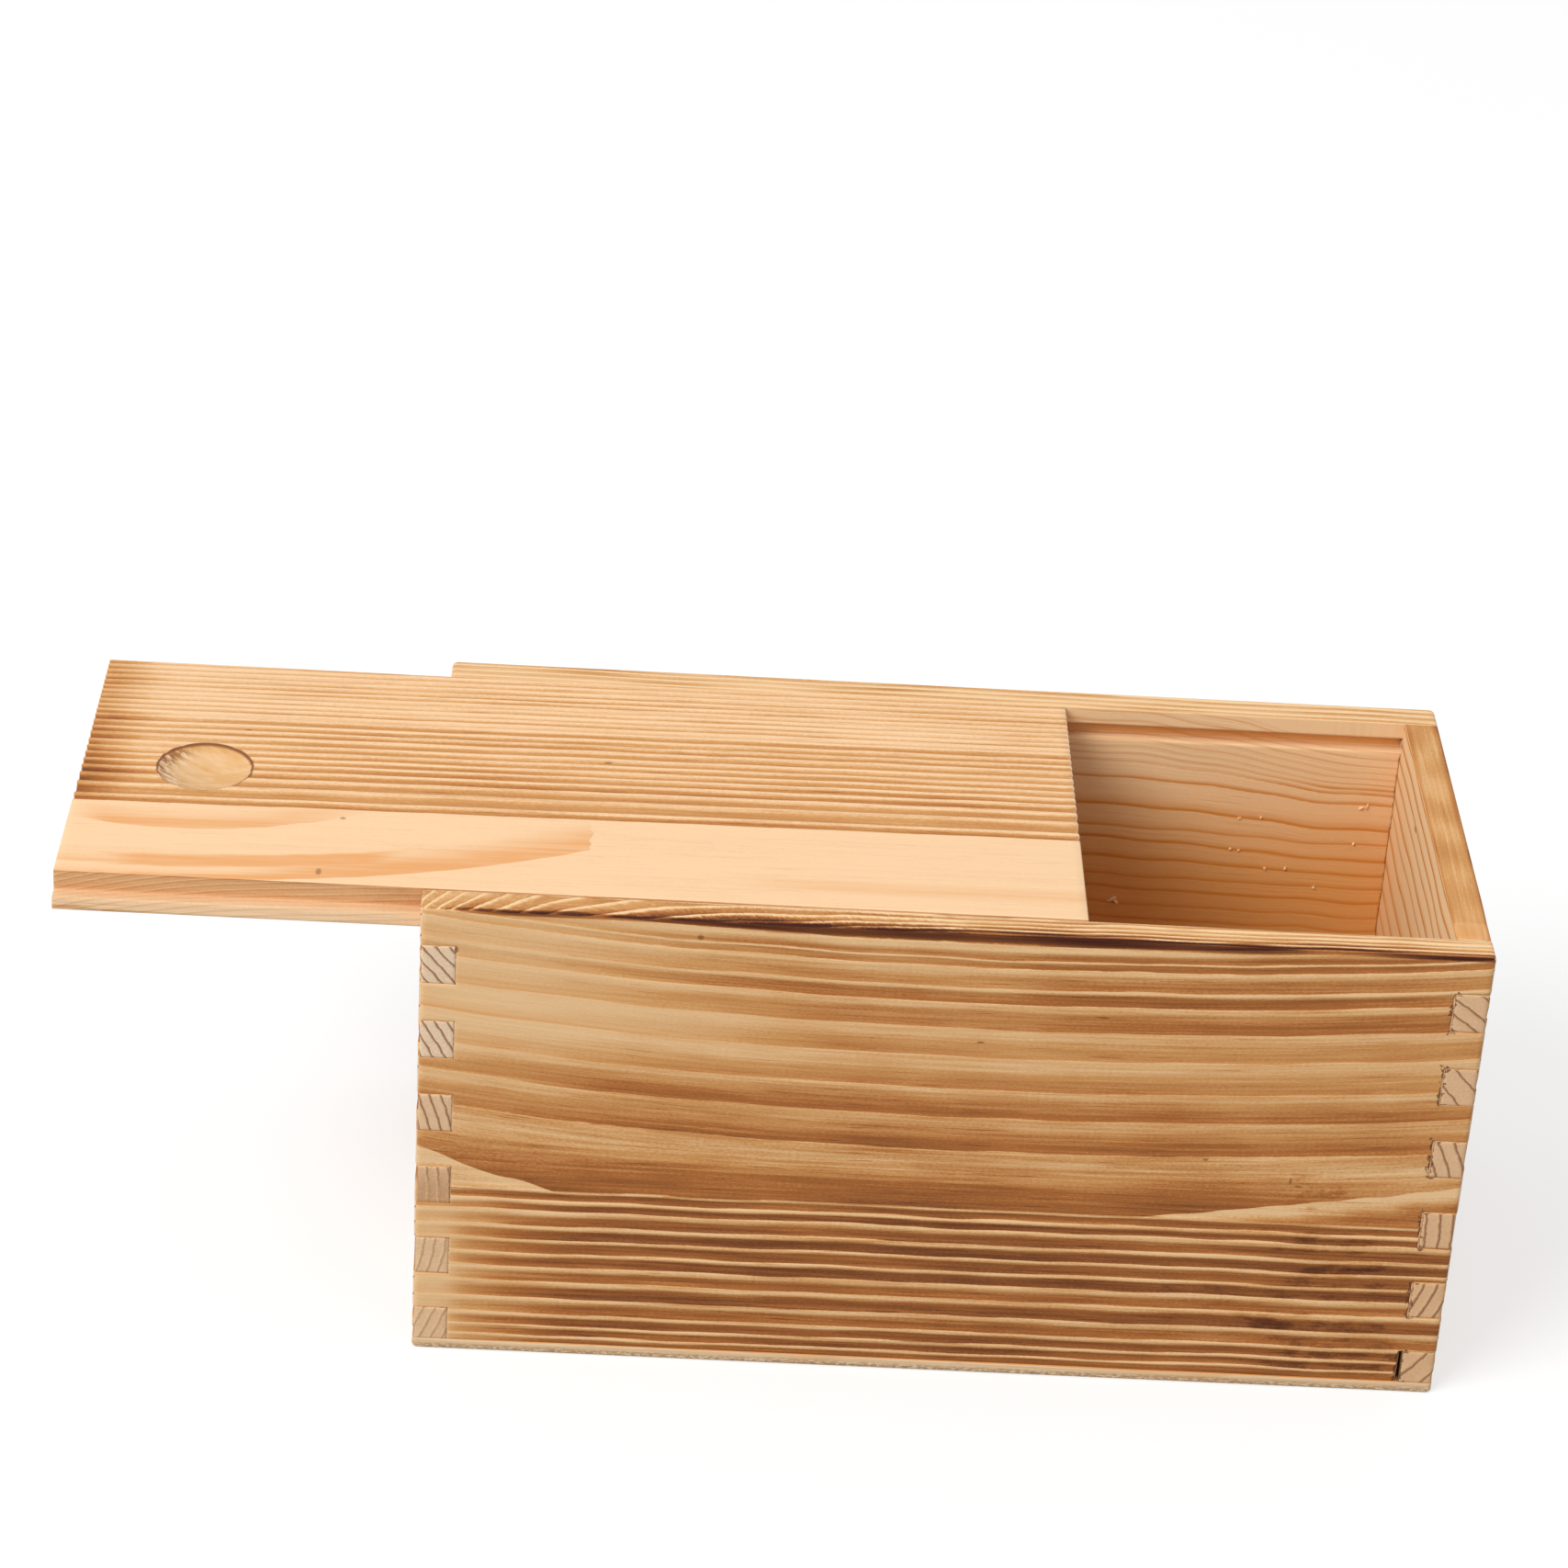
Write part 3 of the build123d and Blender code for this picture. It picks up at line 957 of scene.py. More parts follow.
def flame_group():
    """Colour of wood by how dark the flame made it: pale, tan, brown, dark, then char."""

    def build(w, given):
        dark = given["Darkness"]
        made = w.blend(w.line(dark, 0.0, 0.28), given["Pale"], given["Tan"])
        made = w.blend(w.line(dark, 0.26, 0.58), made, given["Brown"])
        made = w.blend(w.line(dark, 0.55, 1.0), made, given["Dark"])
        return {"Colour": w.blend(w.line(dark, 1.0, 1.6), made, given["Char"])}

    tones = ("Pale", "Tan", "Brown", "Dark", "Char")
    inputs = {"Darkness": 0.0, **{tone: (0.5, 0.3, 0.2, 1.0) for tone in tones}}
    return shared_group("Flamed colour", inputs, build)


def spot_group():
    """Mask of a small oval spot at a place in millimetres."""

    def build(w, given):
        gap = w.vector("SUBTRACT", w.vector("MULTIPLY", given["Place"], (1 / MM,) * 3)[0], given["Middle"])[0]
        far = w.vector("LENGTH", w.vector("DIVIDE", gap, given["Reach"])[0])["Value"]
        return {"Mask": w.step(far, 0.45, 1.1, 1.0, 0.0)}

    return shared_group("Spot", {"Place": (0, 0, 0), "Middle": (0, 0, 0), "Reach": (1, 1, 1)}, build)


# Pin knots and specks: middle and reach in millimetres
WALL_SPOTS = (
    ((-48.0, -49.0, 96.4), (0.8, 1.0, 0.7)),
    ((50.3, -49.0, 52.5), (0.7, 1.0, 0.35)),
    ((28.0, -49.0, 83.1), (1.6, 1.0, 0.3)),
    ((5.5, -49.0, 76.4), (0.9, 1.0, 0.3)),
    ((67.0, -49.0, 48.4), (0.3, 1.0, 1.0)),
    ((68.6, -49.0, 47.2), (1.0, 1.0, 0.3)),
    ((-93.1, -49.0, 91.2), (0.5, 1.0, 0.8)),
    ((93.3, 14.5, 91.0), (1.0, 1.5, 0.6)),
)
LID_SPOTS = (
    ((-119.7, -38.0, 100.1), (0.7, 1.5, 1.0)),
    ((-116.8, -17.6, 100.1), (0.7, 0.6, 1.0)),
    ((-67.2, 9.4, 100.1), (1.1, 0.5, 1.0)),
    ((-138.0, 15.6, 100.1), (0.8, 0.4, 1.0)),
)


def new_material(name):
    """A new material, its wiring and its shader's inputs."""
    material = bpy.data.materials.new(name)
    material.use_nodes = True
    return material, Wiring(material.node_tree), material.node_tree.nodes["Principled BSDF"].inputs


# What a relief of 1 in a material stands for, in millimetres, and how strongly it shades
RELIEF_DEPTH, RELIEF_STRENGTH = 0.4, 0.6


def finish_surface(w, shader, base, rough, height, specular):
    """Colour, roughness and relief onto the shader. The height is in shares of the relief depth."""
    w.feed(shader["Base Color"], base)
    w.feed(shader["Roughness"], rough)
    bump = w.node("Bump", {"Height": height, "Strength": RELIEF_STRENGTH, "Distance": RELIEF_DEPTH * MM})
    w.feed(shader["Normal"], bump.outputs[0])
    shader["Specular IOR Level"].default_value = specular


# How much each fibre effect darkens the wood, plain and per share of flame: on the walls, then on the lid
FIBRE_EFFECTS = (
    (("Streak", 0.09, 0.52), ("Pore", 0.12, 0.40), ("Band", 0.05, 0.36), ("Mottle", 0.10, 0.30)),
    (("Streak", 0.09, 0.34), ("Pore", 0.12, 0.40), ("Band", 0.05, 0.08), ("Mottle", 0.06, 0.10)),
)


def wood_material(name, pale, late, flaming, spots, waver=0.5, lid=False):
    """Flamed, brushed softwood that follows the piece's own rings, fibres, flame and char."""
    material = bpy.data.materials.get(name)
    if material:
        return material
    settings = wood()
    material, w, shader = new_material(name)
    grain, here = w.value("grain", "Vector"), w.place()
    width, flame, char = w.value("width"), w.times(w.value("burn"), flaming), w.value("char")
    rings = w.use(ring_group(), {"Ring": w.value("ring"), "Width": width, "Ridge": w.value("ridge"),
                                 "Waver": waver, "Grain": grain})
    fibre = w.use(fibre_group(), {"Grain": grain})
    ridge, place, away, tone = rings["Ridge"], rings["Place"], rings["Away"], rings["Tone"]
    dark = ring_darkness(w, ridge, place, width, flame, tone, lid)
    if not lid:
        dark = wedge_darkness(w, dark, here)
    for effect, plain, flamed in FIBRE_EFFECTS[lid]:
        dark = w.add(dark, w.times(w.less(fibre[effect], 0.5), w.add(plain, w.times(flame, flamed))))
    dark = w.add(dark, w.times(fibre["Tick"], w.add(0.05, w.times(flame, 0.30))))
    if lid:
        dark = w.add(dark, w.times(char, w.line(ridge, 0.0, 1.0, 0.62, 0.40)))
    dark = w.add(dark, char_darkness(w, grain, char, ridge, lid))
    if not lid:
        # Painted shade: the deep field turns the inside's bare wood darker and more orange
        pale = w.blend(w.value("bare"), pale, w.blend(w.value("deep"), settings.bare, settings.bare_deep))
    made = w.use(flame_group(), {"Darkness": dark, "Pale": pale, "Tan": settings.tan, "Brown": settings.brown,
                                 "Dark": settings.dark, "Char": settings.char})["Colour"]
    made = w.blend(late_wood(w, place, away, width, flame, tone, lid), made, late)
    if lid:
        made = lid_marks(w, made, grain, fibre)
        made = dish_colour(w, made, here, grain)
    made = w.blend(w.value("ends"), made, end_grain(w, grain, away, flame))
    # Torn fibres along the joints, and painted shade in the open slot
    seam = seam_mask(w, here)
    made = w.blend(seam, made, settings.seam)
    marks = 0.0
    for middle, reach in spots:
        mask = w.use(spot_group(), {"Place": here, "Middle": middle, "Reach": reach})["Mask"]
        marks = w.math("MAXIMUM", mask, marks)
    made = w.blend(w.times(marks, 0.55 if lid else 0.72), made, settings.dark)
    rough = w.add(0.60, w.times(fibre["Streak"], 0.16), w.times(ridge, -0.08), w.times(char, 0.1))
    height = w.add(w.times(ridge, w.add(0.04, w.times(flame, 0.30))), w.times(fibre["Streak"], 0.22),
                   w.times(fibre["Pore"], 0.08), w.times(seam, -0.25), w.times(fibre["Tick"], -0.12))
    finish_surface(w, shader, made, rough, height, 0.15)
    return material


def ring_darkness(w, ridge, place, width, flame, tone, lid):
    """Darkness by the rings: soft wood darkens most near the sharp side of a wide ring, the ridge hardly."""
    evenness = w.line(width, 2.5, 9.0, 0.90, 0.22)
    early = w.add(evenness, w.times(w.less(1.0, evenness), w.step(place, 0.04, 0.96)))
    early = w.times(w.less(1.0, ridge), early)
    toned = w.add(0.9, w.times(tone, 0.16)) if lid else w.add(0.82, w.times(tone, 0.32))
    flamed_ridge = w.times(ridge, flame, w.line(width, 3.0, 6.0, 0.08, 0.36))
    return w.add(w.times(flame, early, toned), w.times(flamed_ridge, w.less(1.0, w.value("bare"))))


def wedge_darkness(w, dark, here):
    """Darkness with the front face's two wedges: pale at the left, and darker lower down at the right."""
    deep = w.value("wedge_depth")
    in_wedge = w.times(w.value("wedge"), w.step(deep, -0.06, 0.1))
    side = w.step(w.split(here)[0], -0.03, 0.03, 0.06, 0.62)
    wedge = w.times(side, w.step(deep, 0.7, 6.0))
    return w.add(dark, w.times(in_wedge, w.less(wedge, dark)))


def char_darkness(w, grain, char, ridge, lid):
    """Darkness by char: patches of noise that spread with the char, and spare the ridges where it is weak."""
    noise = w.noise(grain, (0.20, 0.50, 0.50), 5.0, 0.75)
    burnt = w.step(w.add(noise, w.times(char, 0.84)), 0.80, 1.04)
    spared = w.times(ridge, w.line(char, 0.5, 0.9, 0.75, 0.15))
    burnt = w.times(burnt, w.less(1.0, spared))
    plain, more = (0.10, 0.2) if lid else (0.30, 0.88)
    return w.times(burnt, char, w.add(plain, w.times(char, more)))


def late_wood(w, place, away, width, flame, tone, lid):
    """Mask of the growth lines of unflamed wood: on the lid after the sharp side, on the walls before it."""
    if lid:
        late = w.times(w.step(away, 0.1, 0.35), w.step(away, 0.5, 2.0, 1.0, 0.0))
    else:
        up = w.less(width, away)
        core = w.times(w.step(up, 0.0, 0.25), w.step(up, 0.35, 1.1, 1.0, 0.0), 0.66)
        halo = w.times(w.step(place, 0.48, 0.98), w.step(up, 0.0, 0.25), 0.66)
        late = w.add(core, halo)
    return w.times(late, w.step(flame, 0.03, 0.25, 1.0, 0.0), w.value("late"), w.add(0.6, w.times(tone, 0.4)))


def lid_marks(w, made, grain, fibre):
    """Colour with the lid's broad growth marks laid over it."""
    tongue = w.times(w.value("tongue"), w.step(w.value("tongue_edge"), -0.1, 0.12))
    patch = w.times(w.value("patch"), w.step(w.value("patch_edge"), -0.1, 0.12))
    warm = w.add(w.math("MAXIMUM", tongue, patch), w.value("band"))
    fine = w.line(w.noise(grain, (0.022, 0.75, 0.75), 5.0, 0.66), 0.34, 0.66)
    warm = w.times(warm, w.add(0.24, w.times(fibre["Band"], 0.8), w.times(fine, 0.72)))
    return w.blend(warm, made, wood().lid_orange)


def end_grain(w, grain, away, flame):
    """Colour of the boards' ends: pale, finely pored, toned by the flame, with a thin dark line per ring."""
    settings = wood()
    pores = w.line(w.noise(grain, (2.6, 2.6, 2.6), 3.0, 0.7), 0.40, 0.75, 0.0, 0.55)
    made = w.blend(pores, settings.end_grain, settings.tan)
    made = w.blend(w.times(flame, 0.6), made, settings.tan)
    return w.blend(w.times(w.step(away, 0.18, 0.66, 1.0, 0.0), 0.95), made, settings.end_line)


def seam_mask(w, here):
    """Mask of torn fibres along the joints, wider and darker the more ragged the seam, and of painted shade
    in the slot.
    """
    ragged = w.value("ragged")
    torn = w.step(w.noise(here, (900.0, 900.0, 900.0), 2.0, 0.6), 0.42, 0.72)
    gap = w.less(w.value("seam"), w.add(0.03, w.times(ragged, torn)))
    return w.times(w.step(gap, -0.02, 0.10, 1.0, 0.0), w.line(ragged, 0.1, 0.4, 0.12, 0.8))


# Colours of the thumb dish: cut wood, light and brown, lifted fibres, torn grain, painted shade on the far
# side and scorched rim
DISH_LIGHT, DISH_BROWN, DISH_FUZZ = (0.85, 0.57, 0.32), (0.74, 0.41, 0.155), (0.95, 0.74, 0.54)
DISH_TORN, DISH_PAINTED_SHADE, DISH_RIM = (0.27, 0.10, 0.04), (0.66, 0.30, 0.07), (0.24, 0.08, 0.03)


def dish_colour(w, made, here, grain):
    """Colour with the thumb dish laid over it: bare wood with torn fibres at the left, painted shade on its
    far side, and a scorched rim.

    Right and back are metres from the dish's middle, and depth is millimetres inside its rim.
    """
    dish_x = LID_LOW_X * MM + bpy.context.scene.wooden_box_sizes.dish_inset
    right, back, _ = w.split(w.vector("SUBTRACT", here, (dish_x, 0, 0))[0])
    depth = w.value("dish")
    turned = w.node("VectorRotate", {"Vector": grain, "Angle": 0.6}, rotation_type="Z_AXIS").outputs[0]
    tear = w.noise(turned, (0.34, 0.95, 0.0), 4.0, 0.70)
    at_left = w.step(right, -0.0005, -0.0055)
    torn = w.times(w.step(tear, 0.47, 0.56), w.step(depth, 4.4, 0.8), at_left,
                   w.step(back, -0.0065, -0.0005, 0.1, 1.0))
    fuzz = w.times(w.step(tear, 0.50, 0.38), w.step(depth, 6.0, 1.5), at_left)
    patchy = w.line(w.noise(turned, (0.10, 0.40, 0.0), 4.0, 0.65), 0.32, 0.68)
    # Painted shade: a darker orange band just inside the far rim of the dish
    far = w.times(w.step(back, 0.0030, 0.009), w.step(depth, 2.9, 0.9), w.add(0.55, patchy))
    cut = w.blend(patchy, DISH_LIGHT, DISH_BROWN)
    cut = w.blend(w.times(fuzz, 0.8), cut, DISH_FUZZ)
    cut = w.blend(w.times(torn, 0.9), cut, DISH_TORN)
    cut = w.blend(w.times(far, 0.7), cut, DISH_PAINTED_SHADE)
    made = w.blend(w.step(depth, -0.06, 0.12), made, cut)
    uneven = w.times(w.less(w.noise(here, (600.0, 600.0, 0.0), 3.0, 0.7), 0.5), 0.9)
    edge = w.add(depth, w.times(uneven, w.step(back, 0.009, 0.0)))
    thick = w.step(back, -0.001, 0.0080, 0.45, 1.05)
    rim = w.times(w.step(edge, -0.30, 0.0), w.step(edge, thick, w.times(thick, 0.3)))
    return w.blend(w.times(rim, w.step(back, -0.009, 0.001, 0.22, 0.95)), made, DISH_RIM)


def wall_material():
    """Finish of the four walls."""
    settings = wood()
    return wood_material("Flamed wall wood", settings.pale, settings.late, settings.flaming, WALL_SPOTS)


def lid_material():
    """Finish of the lid."""
    settings = wood()
    return wood_material("Brushed lid wood", settings.lid_pale, settings.lid_orange, settings.lid_flaming,
                         LID_SPOTS, waver=0.15, lid=True)


# Loose pale grains in the rough ply at the panel's edge
PANEL_GRIT = (0.90, 0.78, 0.60)


def panel_material():
    """Finish of the bottom panel: a pale smooth ply over a rough one, and a long quiet grain underneath."""
    settings = wood()
    material, w, shader = new_material("Thin board")
    grain, ends = w.value("grain", "Vector"), w.value("ends")
    fibre = w.use(fibre_group(), {"Grain": grain})
    rings = w.use(ring_group(), {"Ring": w.value("ring"), "Width": w.value("width"), "Ridge": 1.2,
                                 "Waver": 1.4, "Grain": grain})
    made = w.blend(w.line(fibre["Streak"], 0.35, 0.7, 0.0, 0.45), settings.panel, settings.tan)
    made = w.blend(w.times(w.step(rings["Place"], 0.0, 0.4, 1.0, 0.0), 0.35), made, settings.tan)
    grit = w.noise(grain, (1.0, 1.0, 2.0), 3.0, 0.7)
    rough_ply = w.times(ends, w.step(grit, 0.46, 0.56))
    made = w.blend(w.times(ends, w.step(grit, 0.46, 0.38), 0.5), made, PANEL_GRIT)
    made = w.blend(w.times(rough_ply, 0.85), made, settings.panel_dark)
    rough = w.add(0.66, w.times(fibre["Streak"], 0.14))
    height = w.add(w.times(rough_ply, -0.5), w.times(fibre["Streak"], 0.2), w.times(fibre["Pore"], 0.1))
    finish_surface(w, shader, made, rough, height, 0.3)
    return material


def mirrored(half):
    """Lattice lines on both sides of 0 from those on one side."""
    return np.concatenate([-half[:0:-1], half])


def long_wall(name, node, outer_side):
    """A long wall: finger slots at both ends and the lid groove, which stops at the right end wall."""
    size = sizes()
    front = outer_side == LOW_Y
    groove_back = INSIDE_Y + size["groove_depth"]
    xs = lattice(-HALF_LENGTH, (-HALF_LENGTH + 0.3, 0.3), (-HALF_LENGTH + 1.2, 0.45), (-INSIDE_X - 0.4, 0.9),
                 (-INSIDE_X + 0.8, 0.4), (INSIDE_X - 1.6, 1.65), (INSIDE_X - SLOT_CUT, 0.32),
                 (INSIDE_X, 0.33), (INSIDE_X + 0.4, 0.4), (HALF_LENGTH - 1.2, 0.9),
                 (HALF_LENGTH - 0.3, 0.45), (HALF_LENGTH, 0.3))
    depths = lattice(INSIDE_Y, (INSIDE_Y + 0.25, 0.25), (groove_back, 0.9), (SLOT_BACK, 0.6),
                     (HALF_WIDTH - 0.8, 0.7), (HALF_WIDTH, 0.2))
    lines = xs, np.sort((-1 if front else 1) * depths), upright_lines(size)
    x, y, z = middles(*lines)
    deep = np.abs(y)
    solid = ~((deep < groove_back) & in_groove(z, size) & (x < INSIDE_X))
    for top, beyond in ((GROOVE_LOW, x < -INSIDE_X), (RIM, x > INSIDE_X)):
        for low, high in finger_spans(size, top):
            solid &= ~(beyond & (z > low) & (z < high))
    if front:
        in_slot = (x > INSIDE_X - SLOT_CUT) & (x < INSIDE_X) & (z > SLOT_LOW) & (z < SLOT_HIGH)
        solid &= ~(in_slot & (deep > SLOT_BACK))
    make_board(name, node, lines, solid, wall_look(size, outer_side), wall_material())


def end_wall(name, node, outer_side):
    """An end wall with its fingers. The left one is lower, because the lid slides over it."""
    size = sizes()
    left = outer_side == LOW_X
    depths = lattice(INSIDE_X, (INSIDE_X + 0.25, 0.25), (HALF_LENGTH - 0.8, 0.7), (HALF_LENGTH, 0.2))
    half = lattice(0.0, (INSIDE_Y - 0.3, 1.6), (INSIDE_Y, 0.3), (INSIDE_Y + 0.4, 0.4),
                   (HALF_WIDTH - 1.2, 0.9), (HALF_WIDTH - 0.3, 0.45), (HALF_WIDTH, 0.3))
    lines = np.sort((-1 if left else 1) * depths), mirrored(half), upright_lines(size)
    _, y, z = middles(*lines)
    top = GROOVE_LOW if left else RIM
    solid = (np.abs(y) < INSIDE_Y) & (z < top)
    for low, high in finger_spans(size, top):
        solid |= (z > low) & (z < high)
    make_board(name, node, lines, solid, end_wall_look(size, outer_side), wall_material())


def panel_look(x, y, z, side):
    """Look of the bottom panel: wide quiet rings on its flat sides, and a rough ply at its edge."""
    flat = (side == LOW_Z) | (side == HIGH_Z)
    fields = blank_fields(x, np.where(flat, x, x + y), np.where(flat, y, z * 2), z)
    heart = 6 + 9 * sway(131, x, y, 260, 160)
    distance = np.hypot(y - heart, 16 + 0.10 * x) + 2.0 * sway(137, x, y, 120, 60)
    fields["ring"], fields["width"] = growth_rings(np.arange(90.0, -8.0, -7.0), distance)
    fields["ends"] = np.where(flat, 0.0, ease(z, 1.35, 1.05) * ease(z, 0.1, 0.35))
    fields["relief"] = np.where(flat, 0.0, 0.05 + 0.05 * sway(139, (x + y) * 6, z * 9, 9, 9))
    return fields


class WOODENBOX_OT_front_wall(bpy.types.Operator):
    """Front wall: its face shows smiling year rings over a pale wedge and a straight, deeply brushed band"""

    bl_idname = "wooden_box.front_wall"
    bl_label = "Front wall"

    def execute(self, context):
        long_wall("front_board", "front_wall", LOW_Y)
        return {"FINISHED"}


class WOODENBOX_OT_back_wall(bpy.types.Operator):
    """Back wall: thin growth lines inside, and year rings in pointed arches outside"""

    bl_idname = "wooden_box.back_wall"
    bl_label = "Back wall"

    def execute(self, context):
        long_wall("back_board", "back_wall", HIGH_Y)
        return {"FINISHED"}


class WOODENBOX_OT_end_walls(bpy.types.Operator):
    """Both end walls with their fingers"""

    bl_idname = "wooden_box.end_walls"
    bl_label = "End walls"

    def execute(self, context):
        end_wall("left_end_board", "left_end_wall", LOW_X)
        end_wall("right_end_board", "right_end_wall", HIGH_X)
        return {"FINISHED"}


class WOODENBOX_OT_bottom_panel(bpy.types.Operator):
    """Bottom panel: a thin board glued under the walls"""

    bl_idname = "wooden_box.bottom_panel"
    bl_label = "Bottom panel"

    def execute(self, context):
        xs = lattice(-HALF_LENGTH, (-HALF_LENGTH + 1.2, 0.4), (HALF_LENGTH - 1.2, 2.0), (HALF_LENGTH, 0.4))
        ys = lattice(-HALF_WIDTH, (-HALF_WIDTH + 1.2, 0.3), (HALF_WIDTH - 1.2, 1.2), (HALF_WIDTH, 0.3))
        lines = xs, ys, lattice(0.0, (0.8, 0.16), (FOOT, 0.4))
        solid = np.ones([len(line) - 1 for line in lines], bool)
        make_board("bottom_board", "bottom_panel", lines, solid, panel_look, panel_material(),
                   slot="panel_wood")
        return {"FINISHED"}


class WOODENBOX_OT_lid(bpy.types.Operator):
    """Sliding lid: brushed stripes, a smooth part with broad growth marks, tongues and a thumb dish"""

    bl_idname = "wooden_box.lid"
    bl_label = "Lid"

    def execute(self, context):
        size = sizes()
        above, shoulder = lid_half_width(size), LID_LOW_Z + size["tongue_height"]
        dish_x, half = dish_measures(size)
        xs = lattice(LID_LOW_X, (LID_LOW_X + 0.3, 0.3), (dish_x - half - 0.4, 1.5),
                     (dish_x + half + 0.4, 0.42), (LID_HIGH_X - 0.3, 1.5), (LID_HIGH_X, 0.3))
        ys = mirrored(lattice(0.0, (above - 0.4, 0.34), (above, 0.2), (LID_REACH - 0.25, 0.9),
                              (LID_REACH, 0.25)))
        zs = lattice(LID_LOW_Z, (LID_LOW_Z + 0.25, 0.25), (shoulder - 0.25, 0.6), (shoulder, 0.25),
                     (LID_TOP - 0.4, 0.6), (LID_TOP, 0.2))
        _, y, z = middles(xs, ys, zs)
        solid = (np.abs(y) < above) | (z < shoulder)
        make_board("lid_board", "lid", (xs, ys, zs), solid, lid_look(size), lid_material(), body="lid",
                   slot="lid_wood", wear=lid_worn)
        return {"FINISHED"}


# Crumbs left in the box, on the back wall's inside: x and z of the middle, length, and turn in degrees
CRUMBS = (
    (37.5, 55.5, 2.3, 35), (38.4, 55.0, 1.5, -50), (62.0, 76.2, 0.9, 20), (66.4, 76.6, 0.7, 70),
    (87.8, 80.3, 1.5, 80), (86.6, 79.8, 1.1, 30), (62.6, 68.6, 0.6, 0), (60.8, 68.8, 0.7, 60),
    (72.6, 64.8, 1.0, 85), (68.4, 64.6, 0.6, 40), (79.0, 60.6, 0.7, 90), (86.0, 71.4, 0.7, 50),
)
# How far a crumb's middle stands off the back wall's inner face, in millimetres, the first of the crumbs'
# seeds, and how many sides and rows of points each has
CRUMB_OFF, CRUMB_SEED, CRUMB_SIDES, CRUMB_ROWS = 0.15, 500, 10, 7
# Points nearer than this are one point, in metres
SAME_POINT = 1e-8


def round_ball():
    """Points and quads of a ball of radius 1, by turn u round the first axis and by angle v from its pole."""
    turns, rows = CRUMB_SIDES, CRUMB_ROWS
    u, v = np.meshgrid(np.linspace(0, 2 * np.pi, turns, endpoint=False), np.linspace(0, np.pi, rows),
                       indexing="ij")
    ball = np.stack([np.cos(v), np.sin(v) * np.cos(u), np.sin(v) * np.sin(u)], -1).reshape(-1, 3)
    column, row = np.meshgrid(np.arange(turns), np.arange(rows - 1), indexing="ij")
    here, following = column * rows + row, (column + 1) % turns * rows + row
    return ball, np.stack([here, here + 1, following + 1, following], -1).reshape(-1, 4)


def lumpy_crumb(ball, index, long, turn):
    """A crumb round its own middle: the ball with a slow waver, stretched, and turned in the wall's plane."""
    seed = CRUMB_SEED + index
    rng = np.random.default_rng(seed)
    lumpy = 1 + 0.25 * sway(seed, ball[:, 0] * 3, ball[:, 1] + ball[:, 2], 3, 2)[:, None]
    shape = ball * lumpy * np.array([long / 2, 0.22 + 0.1 * rng.random(), 0.24 + 0.12 * rng.random()])
    across, along = math.sin(math.radians(turn)), math.cos(math.radians(turn))
    return shape @ np.array([[along, 0, -across], [0, 1, 0], [across, 0, along]]).T


class WOODENBOX_OT_crumbs(bpy.types.Operator):
    """Crumbs and splinters of wood that cling to the inside of the back wall"""

    bl_idname = "wooden_box.crumbs"
    bl_label = "Crumbs"

    def execute(self, context):
        ball, quads = round_ball()
        points, faces = [], []
        for index, (x, z, long, turn) in enumerate(CRUMBS):
            points.append(lumpy_crumb(ball, index, long, turn) + (x, INSIDE_Y - CRUMB_OFF, z))
            faces.append(quads + index * len(ball))
        mesh = bpy.data.meshes.new("crumbs")
        mesh.from_pydata((np.concatenate(points) * MM).tolist(), [], np.concatenate(faces).tolist())
        shell = bmesh.new()
        shell.from_mesh(mesh)
        bmesh.ops.remove_doubles(shell, verts=shell.verts, dist=SAME_POINT)
        shell.to_mesh(mesh)
        shell.free()
        material, w, shader = new_material("Crumb wood")
        speckle = w.noise(w.place(), (1500.0, 1500.0, 1500.0), 2.0)
        w.feed(shader["Base Color"], w.blend(speckle, wood().bare, wood().pale))
        shader["Roughness"].default_value = 0.75
        place_piece("crumbs", mesh, "case", "wall_wood", material)
        return {"FINISHED"}


# Where the lamp stands and what it is turned to, in metres
LAMP_PLACE, LAMP_AIM = (-1.6, -1.4, 2.0), Vector((0, 0, 0.06))
# The camera's place in metres, its turn in degrees, the shift that frames the photograph, its sensor in mm
CAMERA_PLACE, CAMERA_TURN = (-0.05748, -0.79156, 0.54466), (60.4326, -3.2599, -0.0823)
CAMERA_SHIFT, SENSOR = (-0.0058, 0.018), 36.0
# Nearest and farthest distance that the camera draws, in metres
CAMERA_CLIPS = (0.05, 20.0)
# Half the side of the square floor, in metres, and how much its own light lifts it to white for the camera
FLOOR_REACH, FLOOR_LIFT = 4.0, 0.60


